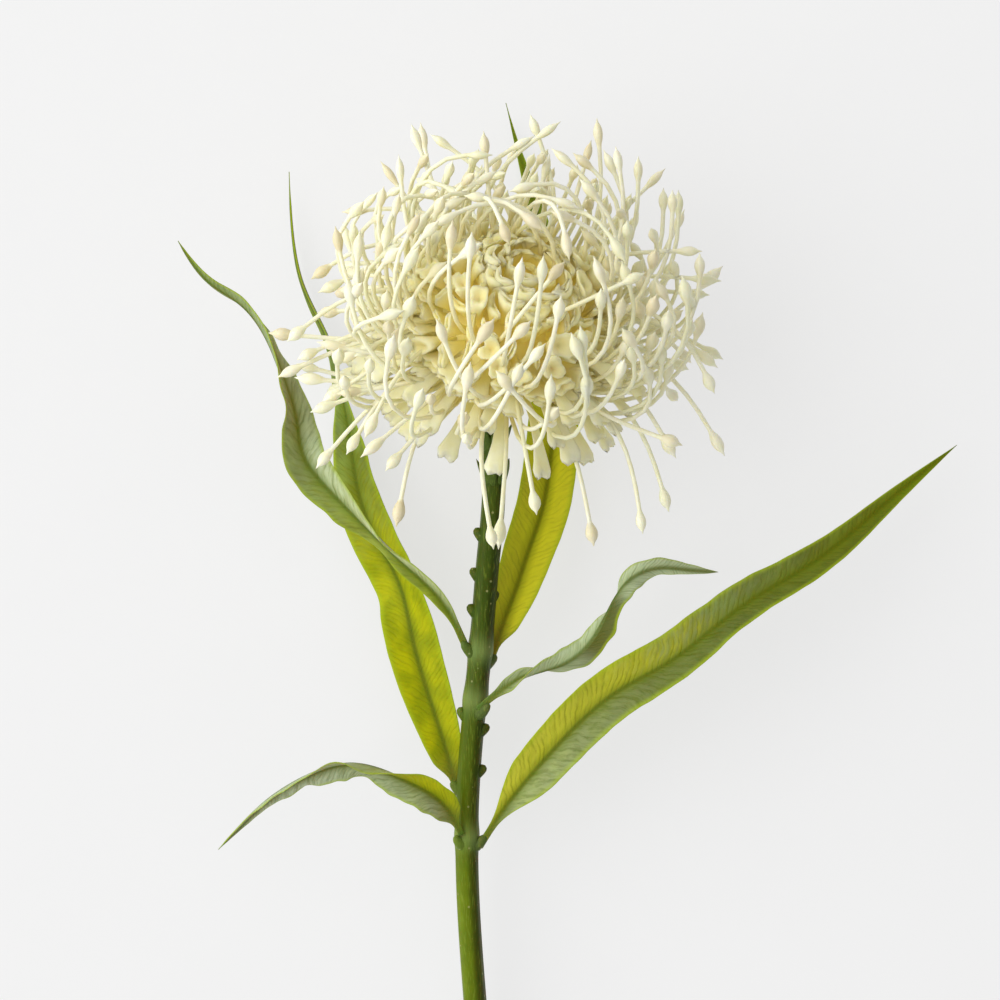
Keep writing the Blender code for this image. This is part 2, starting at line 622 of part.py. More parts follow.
def make_bloom(leaf_points, material):
    """The bloom: a turned core, with its florets and styles fused to it."""
    axis = unit(HEAD_AXIS)
    path = [HEAD_CENTRE + axis * along for along, radius in CORE_PROFILE]
    radii = [radius for along, radius in CORE_PROFILE]
    core = tube("bloom", path, radii, CORE_SIDES, material, point=HEAD_CENTRE + axis * CORE_TIP)
    sizes = [spiral_floret(index) for index in range(FLORET_COUNT) if floret_grows(index)]
    sizes += [placed_floret(*row) for row in PLACED_FLORETS]
    florets = [make_floret(number, *row) for number, row in enumerate(sizes)]
    styles = [make_style(index, *line) for index, line in enumerate(style_lines(leaf_points))]
    fuse(core, florets + styles)


def stem_line():
    """The stem's centre line, curved at its top into the bloom's axis, and the radius along it.

    Rings stand closer at the nodes, which swell the stem, and at its top, where it widens.
    """
    axis = unit(HEAD_AXIS)
    foot = HEAD_CENTRE + axis * (CORE_PROFILE[0][0] - GAP)
    rows = STEM_LINE + tuple(tuple(foot - axis * below) for below in NECK_ROWS)
    shares = set(np.linspace(0, EVEN_SHARE, EVEN_RINGS)) | set(NECK_SHARES)
    for node in NODE_SHARES:
        clear = NODE_CLEARING * NODE_LENGTH
        shares = {share for share in shares if abs(share - node) > clear}
        shares |= {node - NODE_LENGTH, node, node + NODE_LENGTH}
    shares = np.array(sorted(shares))
    line = np.vstack((smooth_path(rows, shares), foot))
    shares = np.append(shares, 1)
    nodes = sum(np.exp(-((shares - node) / NODE_LENGTH) ** 2) for node in NODE_SHARES)
    from_top = np.linalg.norm(line - foot, axis=1)
    neck = np.clip(1 - from_top / NECK_LENGTH, 0, 1) ** 2 * (NECK_RADIUS - STEM_RADIUS)
    return line, STEM_RADIUS * (1 + NODE_SWELLING * nodes) + neck


def stem_frame(line, along_y):
    """The stem's centre, direction, right side and upper side where it passes a place along Y."""
    i = min(int(np.searchsorted(line[:, 1], along_y)), len(line) - 1)
    share = (along_y - line[i - 1, 1]) / (line[i, 1] - line[i - 1, 1])
    tangent = unit(line[i] - line[i - 1])
    right = unit(np.cross(tangent, (0, 0, 1)))
    return line[i - 1] + share * (line[i] - line[i - 1]), tangent, right, np.cross(right, tangent)


def make_scar(index, line, along_y, turn, material):
    """One leaf scar: a short stub that leans up the stem."""
    centre, tangent, right, upper = stem_frame(line, along_y)
    turn = math.radians(turn)
    out = unit(math.cos(turn) * right + math.sin(turn) * upper)
    foot = centre + out * (STEM_RADIUS - SCAR_ROOT)
    top = centre + out * (STEM_RADIUS + SCAR_HEIGHT) + tangent * SCAR_HEIGHT * SCAR_LEAN
    return tube(f"scar_{index}", (foot, top), SCAR_RADII, SCAR_SIDES, material)


def make_bract(index, line, along_y, turn, length, material):
    """One scale leaf of the neck: a pointed blade that stands up from the stem and leans out."""
    centre, tangent, right, upper = stem_frame(line, along_y)
    out = math.cos(turn) * right + math.sin(turn) * upper
    side = np.cross(tangent, out)
    rings = []
    for share, width in BRACT_OUTLINE:
        lean = BRACT_SPREAD * share ** BRACT_CURVE
        middle = centre + out * (STEM_RADIUS - BRACT_ROOT + length * lean) + tangent * length * share
        half_side = side * BRACT_HALF_WIDTH * width
        inner = out * BRACT_THICKNESS
        rings.append((middle - half_side, middle + half_side, middle + half_side + inner,
                      middle - half_side + inner))
    tip = centre + out * (STEM_RADIUS - BRACT_TIP_ROOT + length * BRACT_SPREAD) + tangent * length
    faces = rings_to_faces(3, 4) + cap(0, 4)
    faces += [(8 + k, 8 + (k + 1) % 4, 12) for k in range(4)]
    return make_object(f"bract_{index}", np.vstack((np.vstack(rings), tip)), faces, material)


def make_stem(material):
    """The stem, with its leaf scars and the small scale leaves of its neck."""
    line, radii = stem_line()
    stem = tube("stem", line, radii, STEM_SIDES, material)
    pieces = [make_scar(i, line, *scar, material) for i, scar in enumerate(SCARS)]
    for along_y, count, length in BRACT_ROWS:
        for k in range(count):
            turn = 2 * math.pi * k / count + along_y
            pieces.append(make_bract(len(pieces), line, along_y, turn, length, material))
    fuse(stem, pieces)


def build():
    """Clears the scene and makes the bloom, the stem and the leaves."""
    for old in list(bpy.data.objects):
        bpy.data.objects.remove(old)
    bloom_material = plant_material("cream_bloom", COLOURS["bloom"])
    stem_material = plant_material("green_stem", COLOURS["stem"])
    leaf_material = plant_material("green_leaf", COLOURS["leaf"])
    grids = [blade_grid(leaf, CLEARANCE_STEPS)[0] for leaf in LEAVES.values()]
    leaf_points = np.vstack([grid.reshape(-1, 3) for grid in grids])
    make_stem(stem_material)
    for name, leaf in LEAVES.items():
        make_leaf(name, leaf, leaf_material)
    make_bloom(leaf_points, bloom_material)
    for made in bpy.context.scene.objects:
        made.data.shade_smooth()
        made.data.set_sharp_from_angle(angle=math.radians(SHADING_ANGLE))


build()
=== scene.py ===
"""Looks of a pincushion protea: one cut flower that lies on a pale table, seen from above.

Sizes and places are in millimetres and the angles of values in degrees, unless a name or a comment
says otherwise. X runs across the flower, Y along its stem towards the bloom, and Z up from the table.
"""

import math

import bpy
import numpy as np
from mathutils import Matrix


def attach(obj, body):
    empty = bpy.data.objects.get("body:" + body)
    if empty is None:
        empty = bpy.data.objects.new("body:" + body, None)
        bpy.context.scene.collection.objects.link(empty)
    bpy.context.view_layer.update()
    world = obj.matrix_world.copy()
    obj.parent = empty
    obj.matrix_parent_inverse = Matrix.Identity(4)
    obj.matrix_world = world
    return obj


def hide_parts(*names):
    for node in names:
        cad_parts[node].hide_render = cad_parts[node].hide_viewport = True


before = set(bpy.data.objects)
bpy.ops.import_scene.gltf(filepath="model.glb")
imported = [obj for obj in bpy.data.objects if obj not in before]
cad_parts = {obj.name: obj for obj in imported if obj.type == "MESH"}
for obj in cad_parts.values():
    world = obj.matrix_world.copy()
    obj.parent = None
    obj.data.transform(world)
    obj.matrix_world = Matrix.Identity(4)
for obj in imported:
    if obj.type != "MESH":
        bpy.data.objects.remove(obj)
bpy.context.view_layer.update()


# Camera: a long lens just over a metre above the flower, looking straight down on it, with the
# stem running up the picture and its cut end just outside the lower edge.
MM = 0.001
CAMERA_PLACE = (-20.0, 59.5, 1144.0)
LENS_LENGTH = 150.0

lens = bpy.data.cameras.new("camera")
lens.lens = LENS_LENGTH
lens.sensor_width = 36.0
lens.clip_end = 10.0
camera = bpy.data.objects.new("camera", lens)
camera.location = np.array(CAMERA_PLACE) * MM
bpy.context.scene.collection.objects.link(camera)
bpy.context.scene.camera = camera
bpy.context.scene.view_settings.view_transform = "Standard"


# Stem: one green woody shoot, cut square at its foot. It swells at each node, carries the stubs of
# fallen leaves, and grows small pointed scale leaves where it meets the bloom.
STEM_RADIUS = 3.1
STEM_SIDES = 36
STEM_RINGS = 230
STEM_LINE = (
    (-18.6, -167.8, 3.1),
    (-23.3, -120.3, 9.0),
    (-26.8, -76.0, 14.6),
    (-28.6, -48.6, 18.1),
    (-28.8, -24.0, 21.2),
    (-27.3, -1.0, 24.2),
    (-25.0, 22.0, 27.2),
    (-23.2, 43.5, 30.0),
    (-21.7, 60.8, 32.3),
    (-21.6, 75.5, 34.2),
    (-22.1, 84.8, 36.0),
    (-23.4, 91.2, 36.9),
    (-21.9, 94.4, 40.7),
)
NODE_PLACES = (-31.0, 6.0, 19.5)
NODE_LENGTH = 3.2
NODE_SWELLING = 0.12
NECK_FLARE = 1.2
NECK_LENGTH = 6.0
RIDGE_HEIGHT = 0.07
RIDGE_WANDER = 23.0
RIDGE_COUNTS = (5, 9)
MINOR_RIDGES = 0.6
LINE_SAMPLES = 400

# The last rings at each end: steps outwards, and shares of the radius from the middle of the cut.
END_STEPS = np.array((0.017, 0.0135, 0.01))[:, None]
END_SHARES = np.array((0.02, 0.55, 0.93))[:, None]

# Leaf scars: place along Y, side of the stem in degrees from its right, and how far they stand out.
SCAR_REACH = 2.2
SCARS = [(place, side, SCAR_REACH) for place, side in
         ((-118, 20), (-84, 250), (-13.6, 5), (-2.3, 12), (1.4, 175), (29.3, 170), (38.9, 185),
          (49.6, 180), (44.0, 300), (33.0, 320))]

# Knuckles of the petioles where the leaves grow from the stem, in the same columns.
KNUCKLES = ((-33.5, 20, 3.2), (-33.0, 128, 2.9), (-19.0, 195, 2.6), (2.5, 55, 4.0),
            (18.5, 150, 3.4), (15.5, 330, 2.8))
STUB_SHARES = np.array((0.0, 0.35, 0.6, 0.8, 0.93, 1.0))[None, :, None]
STUB_RADII = np.array((2.1, 1.85, 1.45, 1.25, 0.85, 0.1))[None, :, None]
STUB_ROOT = 1.6
STUB_STRETCH = 1.25
STUB_LEAN = 0.75
STUB_FLATNESS = 0.85
STUB_SIDES = 12

# Scale leaves of the neck, in two rows: place along Y, how many, and length.
BRACT_ROWS = ((63.5, 5, 7.0), (72.5, 6, 8.0))
BRACT_HALF_WIDTH = 1.8
BRACT_THINNESS = 0.3
BRACT_SPREAD = 0.32
BRACT_ROOT = 0.5
BRACT_RINGS = 9
BRACT_SIDES = 10

# How pale the scars, the knuckles and the scale leaves are.
STUB_PALENESS = (0.1, 0.45, 0.3)

# Colour of the bark's lower part, and the coats over it: strength, then red, green and blue.
BARK_COLOUR = (98, 120, 4)
# The shade coat is painted shade, which darkens the right side of the stem, its scars and knuckles.
BARK_COATS = {"upper": (1.0, 54, 74, 2), "cloud": (0.5, 64, 86, 2), "shade": (0.8, 40, 52, 3),
              "fibre": (0.38, 126, 148, 50), "speck": (0.55, 168, 168, 110),
              "node": (0.38, 150, 172, 96), "cut": (1.0, 196, 200, 140)}
BARK_CLOUD_SIZE = 11.0
FIBRE_SCALE = (2600, 110, 2600)
SPECK_SCALE = 300.0


def unit(vectors):
    """Each vector divided by its length."""
    vectors = np.asarray(vectors, float)
    return vectors / np.linalg.norm(vectors, axis=-1, keepdims=True)


def smooth_path(rows, shares):
    """Natural cubic spline through rows, read at the given shares of its length.

    Between two rows it is their straight line plus a cubic of the bends at both, which are
    solved so that slope and bend run through every row.
    """
    rows = np.asarray(rows, float)
    steps = np.linalg.norm(np.diff(rows[:, :3], axis=0), axis=1)
    knots = np.concatenate(([0], np.cumsum(steps)))
    slopes = np.diff(rows, axis=0) / steps[:, None]
    matrix = np.eye(len(rows))
    bends = np.zeros_like(rows)
    for i in range(1, len(rows) - 1):
        matrix[i, i - 1:i + 2] = steps[i - 1], 2 * (steps[i - 1] + steps[i]), steps[i]
        bends[i] = 6 * (slopes[i] - slopes[i - 1])
    bends = np.linalg.solve(matrix, bends)
    at = np.asarray(shares) * knots[-1]
    i = np.clip(np.searchsorted(knots, at, side="right") - 1, 0, len(steps) - 1)
    h = steps[i][:, None]
    a = (knots[i + 1] - at)[:, None] / h
    b = 1 - a
    cubic = (a ** 3 - a) * bends[i] + (b ** 3 - b) * bends[i + 1]
    return a * rows[i] + b * rows[i + 1] + cubic * h * h / 6


def sweep(paths, across, radii, sides, thinness=1.0):
    """Rings round each path: centre + radius (cos turn across + thinness sin turn other).

    Other is square to the path and to across, and thinness below 1 flattens the rings.
    """
    along = unit(np.gradient(paths, axis=-2))
    across = np.broadcast_to(across, paths.shape)
    across = unit(across - along * np.sum(across * along, axis=-1, keepdims=True))
    other = np.cross(along, across)
    turn = np.linspace(0, 2 * np.pi, sides, endpoint=False)[:, None]
    radii = np.broadcast_to(radii, paths.shape[:-1] + (sides,))[..., None]
    round_ring = np.cos(turn) * across[..., None, :] + thinness * np.sin(turn) * other[..., None, :]
    return paths[..., None, :] + radii * round_ring


def tube_faces(tubes, rings, sides):
    """Quads between neighbouring rings of each tube, and one flat face to close each end."""
    k = np.arange(sides)
    a = np.arange(rings - 1)[:, None] * sides + k
    b = np.arange(rings - 1)[:, None] * sides + (k + 1) % sides
    start = np.arange(tubes)[:, None, None] * rings * sides
    quads = np.stack((a, b, b + sides, a + sides), -1).reshape(1, -1, 4) + start
    ends = np.stack((k[::-1], k + (rings - 1) * sides)).reshape(1, 2, -1) + start
    return quads.reshape(-1, 4).tolist() + ends.reshape(-1, sides).tolist()


def make_piece(name, parts, marks=None):
    """A smooth mesh object at the origin from (points, faces) parts, with marks on its points.

    A part's points may be an array of any shape that ends in x, y, z. Marks are numbers per point.
    """
    points, faces, first = [], [], 0
    for part_points, part_faces in parts:
        flat = np.asarray(part_points, float).reshape(-1, 3)
        points.append(flat)
        faces += [[corner + first for corner in face] for face in part_faces]
        first += len(flat)
    mesh = bpy.data.meshes.new(name)
    mesh.from_pydata((np.concatenate(points) * MM).tolist(), [], faces)
    for label, values in (marks or {}).items():
        mark = mesh.attributes.new(label, "FLOAT", "POINT")
        mark.data.foreach_set("value", np.asarray(values, np.float32).ravel())
    mesh.shade_smooth()
    piece = bpy.data.objects.new(name, mesh)
    bpy.context.scene.collection.objects.link(piece)
    return piece


def stem_frame(along_y):
    """The stem's centre, direction, right side and upper side where it passes places along Y."""
    line = smooth_path(STEM_LINE, np.linspace(0, 1, LINE_SAMPLES))
    centre = np.stack([np.interp(along_y, line[:, 1], line[:, axis]) for axis in range(3)], -1)
    ahead = np.stack([np.interp(np.asarray(along_y) + 1, line[:, 1], line[:, axis])
                      for axis in range(3)], -1)
    along = unit(ahead - centre)
    right = unit(np.cross(along, (0, 0, 1)))
    return centre, along, right, np.cross(right, along)


def stem_surface():
    """Rings round the centre line. The radius adds a bell at each node, a flare at the neck and
    long low ridges, and closes over both ends in a small bevel."""
    line = smooth_path(STEM_LINE, np.linspace(0, 1, STEM_RINGS))
    foot = line[0] - unit(line[1] - line[0]) * END_STEPS
    head = line[-1] + unit(line[-1] - line[-2]) * END_STEPS[::-1]
    path = np.vstack((foot, line, head))
    place = path[:, 1]
    bells = sum(np.exp(-((place - node) / NODE_LENGTH) ** 2) for node in NODE_PLACES)
    from_top = np.linalg.norm(path - path[-1], axis=1)
    flare = NECK_FLARE * np.clip(1 - from_top / NECK_LENGTH, 0, 1) ** 2
    radius = STEM_RADIUS * (1 + NODE_SWELLING * bells) + flare
    turn = np.linspace(0, 2 * np.pi, STEM_SIDES, endpoint=False)
    wander = 0.6 * np.sin(place / RIDGE_WANDER)[:, None]
    major, minor = RIDGE_COUNTS
    ridges = np.sin(major * turn + wander) + MINOR_RIDGES * np.sin(minor * turn - 2 * wander + 1)
    radius = radius[:, None] + RIDGE_HEIGHT * ridges
    radius[:len(foot)] *= END_SHARES
    radius[-len(head):] *= END_SHARES[::-1]
    cut = np.zeros(len(path))
    cut[:len(foot)] = 1
    pale = np.clip(bells, 0, 1)
    return sweep(path, (1, 0, 0), radius, STEM_SIDES), cut, pale, np.cos(turn)


def stub_surfaces(rows):
    """Stubs that lean up the stem: the radius along each follows a blunt, rounded profile."""
    place, turn, reach = (np.array(column, float) for column in zip(*rows))
    centre, along, right, upper = stem_frame(place)
    turn = np.radians(turn)[:, None]
    out = np.cos(turn) * right + np.sin(turn) * upper
    upward = STUB_LEAN * STUB_SHARES ** 2 * along[:, None]
    lean = STUB_STRETCH * reach[:, None, None] * (STUB_SHARES * out[:, None] + upward)
    paths = centre[:, None] + (STEM_RADIUS - STUB_ROOT) * out[:, None] + lean
    surfaces = sweep(paths, along[:, None], STUB_RADII, STUB_SIDES, STUB_FLATNESS)
    return surfaces, np.cos(turn[:, 0])


def bract_surfaces():
    """Scale leaves: flattened sweeps, widest a little before the middle and drawn to a point.

    The half width is a straight line upwards, times one minus a power of the share of the length.
    """
    rows = [(place, 2 * np.pi * k / count + place, length)
            for place, count, length in BRACT_ROWS for k in range(count)]
    place, turn, length = (np.array(column, float)[:, None] for column in zip(*rows))
    centre, along, right, upper = stem_frame(place[:, 0])
    out = np.cos(turn) * right + np.sin(turn) * upper
    share = np.linspace(0, 1, BRACT_RINGS)[None, :, None]
    length = length[:, :, None]
    lean = STEM_RADIUS - BRACT_ROOT + length * BRACT_SPREAD * share ** 1.6
    paths = centre[:, None] + out[:, None] * lean + along[:, None] * length * share
    width = BRACT_HALF_WIDTH * (0.75 + 1.1 * share) * (1 - share ** 2.2) + 0.05
    return sweep(paths, np.cross(along, out)[:, None], width, BRACT_SIDES, BRACT_THINNESS)


def put(tree, kind, inputs=None, **settings):
    """Adds a shader node. An input that is a socket is linked, and anything else is its value."""
    made = tree.nodes.new("ShaderNode" + kind)
    for key, value in settings.items():
        setattr(made, key, value)
    for key, value in (inputs or {}).items():
        if isinstance(value, bpy.types.NodeSocket):
            tree.links.new(value, made.inputs[key])
        else:
            made.inputs[key].default_value = value
    return made


def calc(tree, operation, first, second=0.0, third=0.0):
    """The result of one sum on values or sockets."""
    return put(tree, "Math", {0: first, 1: second, 2: third}, operation=operation).outputs[0]


def times(tree, first, second):
    """The product of two values or sockets."""
    return calc(tree, "MULTIPLY", first, second)


def times_plus(tree, first, second, third):
    """The product of two values or sockets, plus a third."""
    return calc(tree, "MULTIPLY_ADD", first, second, third)


def rise(tree, value, low, high):
    """A smooth step from 0 at low to 1 at high."""
    inputs = {"Value": value, "From Min": low, "From Max": high}
    return put(tree, "MapRange", inputs, interpolation_type="SMOOTHSTEP").outputs["Result"]


def mix(tree, share, first, second):
    """The first colour, going to the second as share goes to 1."""
    return put(tree, "Mix", {0: share, 6: first, 7: second}, data_type="RGBA").outputs[2]


def paint(red, green, blue):
    """A colour as a display shows it, 0 to 255, turned into the linear one that light uses."""
    shown = np.array((red, green, blue)) / 255
    linear = np.where(shown > 0.04045, ((shown + 0.055) / 1.055) ** 2.4, shown / 12.92)
    return (*linear.tolist(), 1.0)


def mark(tree, label):
    """The value that a piece's points carry under a name."""
    return put(tree, "Attribute", attribute_name=label).outputs["Fac"]


def own_place(tree):
    """Places in metres, as they lie in the flower's own frame."""
    return put(tree, "TexCoord").outputs["Object"]


def noise(tree, place, scale, detail, roughness=0.5):
    """Soft noise about 0.5, read at a place times the scale."""
    inputs = {"Vector": place, "Scale": scale, "Detail": detail, "Roughness": roughness}
    return put(tree, "TexNoise", inputs).outputs["Fac"]


def coat(tree, base, coats, **covers):
    """The base colour under one coat after another.

    A cover from 0 to 1, times its coat's strength, is the share by which the colour goes to that
    coat's own.
    """
    for label, cover in covers.items():
        strength, *colour = coats[label]
        base = mix(tree, times(tree, cover, strength), base, paint(*colour))
    return base


def new_group(name, inputs, outputs):
    """An empty shader node group with named sockets, and its input and output nodes."""
    tree = bpy.data.node_groups.new(name, "ShaderNodeTree")
    for label, kind, value in inputs:
        socket = tree.interface.new_socket(label, in_out="INPUT", socket_type="NodeSocket" + kind)
        socket.default_value = value
    for label, kind in outputs:
        tree.interface.new_socket(label, in_out="OUTPUT", socket_type="NodeSocket" + kind)
    return tree, tree.nodes.new("NodeGroupInput").outputs, tree.nodes.new("NodeGroupOutput").inputs


def make_mottle():
    """Cloudy patches of two sizes that take a base colour towards a second one."""
    inputs = (("Base", "Color", (0.5, 0.5, 0.5, 1)), ("Patch", "Color", (0.3, 0.3, 0.3, 1)),
              ("Size mm", "Float", 8.0), ("Amount", "Float", 0.5))
    tree, given, out = new_group("growth_mottle", inputs, (("Color", "Color"),))
    place = own_place(tree)
    scale = calc(tree, "DIVIDE", 1 / MM, given["Size mm"])
    broad = noise(tree, place, scale, 2.0)
    fine = noise(tree, place, times(tree, scale, 4.3), 3.0)
    both = times_plus(tree, fine, 0.45, broad)
    share = times(tree, rise(tree, both, 0.52, 0.95), given["Amount"])
    tree.links.new(mix(tree, share, given["Base"], given["Patch"]), out["Color"])
    return tree


def make_skin():
    """The fine grain of a waxy plant skin: a low relief, and a gloss that varies a little."""
    inputs = (("Grain mm", "Float", 0.6), ("Roughness", "Float", 0.5), ("Change", "Float", 0.1))
    tree, given, out = new_group("waxy_skin", inputs, (("Height", "Float"), ("Roughness", "Float")))
    place = own_place(tree)
    grain = noise(tree, place, calc(tree, "DIVIDE", 1 / MM, given["Grain mm"]), 3.0)
    patches = noise(tree, place, 260.0, 2.0)
    change = times(tree, calc(tree, "SUBTRACT", patches, 0.5), given["Change"])
    tree.links.new(grain, out["Height"])
    tree.links.new(times_plus(tree, change, 2.0, given["Roughness"]), out["Roughness"])
    return tree


MOTTLE = make_mottle()
SKIN = make_skin()


def mottle(tree, base, cloud, size_mm):
    """A base colour with clouds from the shared group, in the strength and colour of a coat."""
    strength, *colour = cloud
    inputs = {"Base": base, "Patch": paint(*colour), "Size mm": size_mm, "Amount": strength}
    return put(tree, "Group", inputs, node_tree=MOTTLE).outputs["Color"]


def finish_surface(tree, colour, grain_mm, roughness, relief, relief_mm, specular,
                   subsurface=0.0, extra_height=None):
    """Links a colour, the shared skin grain and a relief to the material's own shader."""
    shader = tree.nodes["Principled BSDF"].inputs
    skin = put(tree, "Group", {"Grain mm": grain_mm, "Roughness": roughness}, node_tree=SKIN)
    height = skin.outputs["Height"]
    if extra_height is not None:
        height = times_plus(tree, height, 0.35, extra_height)
    inputs = {"Height": height, "Strength": relief, "Distance": relief_mm * MM}
    tree.links.new(colour, shader["Base Color"])
    tree.links.new(skin.outputs["Roughness"], shader["Roughness"])
    tree.links.new(put(tree, "Bump", inputs).outputs["Normal"], shader["Normal"])
    shader["Specular IOR Level"].default_value = specular
    shader["Subsurface Weight"].default_value = subsurface
    return shader


def new_material(name):
    """A material with nodes, and its tree."""
    material = bpy.data.materials.new(name)
    material.use_nodes = True
    return material, material.node_tree


def stem_material():
    """Fresh bark: yellow-green below and deeper green above, with long fibres, small specks and paler
    nodes. Painted shade darkens its right side, as if turned from the light."""
    material, tree = new_material("fresh_bark")
    place = own_place(tree)
    height = put(tree, "SeparateXYZ", {0: place}).outputs["Y"]
    upper = rise(tree, height, -45 * MM, 25 * MM)
    base = coat(tree, paint(*BARK_COLOUR), BARK_COATS, upper=upper)
    base = mottle(tree, base, BARK_COATS["cloud"], BARK_CLOUD_SIZE)
    stretched = put(tree, "Mapping", {"Vector": place, "Scale": FIBRE_SCALE}).outputs[0]
    fibre = noise(tree, stretched, 1.0, 4.0)
    specks = put(tree, "TexVoronoi", {"Vector": place, "Scale": SPECK_SCALE}).outputs["Distance"]
    base = coat(tree, base, BARK_COATS,
                # Painted shade on the right side, as if turned from the light.
                shade=rise(tree, mark(tree, "rightward"), -0.15, 0.6),
                fibre=rise(tree, fibre, 0.5, 0.72),
                speck=rise(tree, specks, 0.13, 0.06),
                node=mark(tree, "pale"),
                cut=mark(tree, "cut"))
    finish_surface(tree, base, grain_mm=0.5, roughness=0.44, relief=0.5, relief_mm=0.25,
                   specular=0.12, subsurface=0.04, extra_height=fibre)
    return material


def build_stem():
    """The shoot with its scars, knuckles and scale leaves, which grow as one with it."""
    shaft, cut, pale, rightward = stem_surface()
    scars, scar_sides = stub_surfaces(SCARS)
    knuckles, knuckle_sides = stub_surfaces(KNUCKLES)
    surfaces = (shaft[None], scars, knuckles, bract_surfaces())
    parts = [(surface, tube_faces(*surface.shape[:3])) for surface in surfaces]
    counts = [surface.size // 3 for surface in surfaces]
    stem_pale = np.concatenate((np.repeat(pale, STEM_SIDES), np.repeat(STUB_PALENESS, counts[1:])))
    stem_cut = np.concatenate((np.repeat(cut, STEM_SIDES), np.zeros(sum(counts[1:]))))
    # Rightward: the cosine round the stem, which sets where the painted shade falls.
    stem_side = np.concatenate((np.tile(rightward, len(pale)),
                                np.repeat(scar_sides, counts[1] // len(scar_sides)),
                                np.repeat(knuckle_sides, counts[2] // len(knuckle_sides)),
                                np.zeros(counts[3])))
    piece = make_piece("shoot", parts, {"pale": stem_pale, "cut": stem_cut, "rightward": stem_side})
    piece.data.materials.append(stem_material())
    return piece


shoot = build_stem()
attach(shoot, "root")
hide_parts("stem")


# Leaves: six long narrow blades with a folded midrib, thin rounded margins and a short petiole.
# Each grows from a node of the stem, and twists and droops in its own way.

# One blade: its mesh, its thickness, and the petiole that it narrows into and its hidden root.
BLADE_STEPS = 150
BLADE_COLUMNS = 19
BLADE_HALF_THICKNESS = 0.3
RIM_ROUNDNESS = 0.7
TIP_THINNESS = (0.7, 0.05)
PETIOLE_HALF_THICKNESS = 0.75
PETIOLE_LENGTH = 7.0
PETIOLE_ROOT = 1.6
ROOT_LENGTH = 2.0

# Its midrib: half width at both ends, the rib below with a shallower groove above, and the width
# of blade that has them in full.
SPINE_HALF_WIDTH = 0.95
TIP_HALF_WIDTH = 0.08
FOLD_ROUNDING = 0.7
RIB_HEIGHT = 0.28
RIB_WIDTH = 0.55
GROOVE_SHARE = 0.5
RIBBED_WIDTH = 3.0

# Waves of its halves, which grow towards the margin, and the wavering of the margin itself.
EDGE_WAVER = 0.2
RUFFLE_LENGTH = 19.0
RUFFLE_POWER = 2.5
RUFFLED_WIDTH = 5.0
RUFFLE_HEIGHTS = {"upper_left": 0.4, "behind_left": 0.25, "lower_left": 0.55,
                  "lower_right": 0.3, "middle_right": 0.6, "behind_bloom": 0.25}

# Where a blade's left half carries a strip of painted shade, which stands for a face turned from
# the light: the place along it, and how far to each side that goes, as shares of its length.
PAINTED_SHADE_PARTS = {"middle_right": (0.5, 0.13)}
NO_PAINTED_SHADE = (-1.0, 0.1)

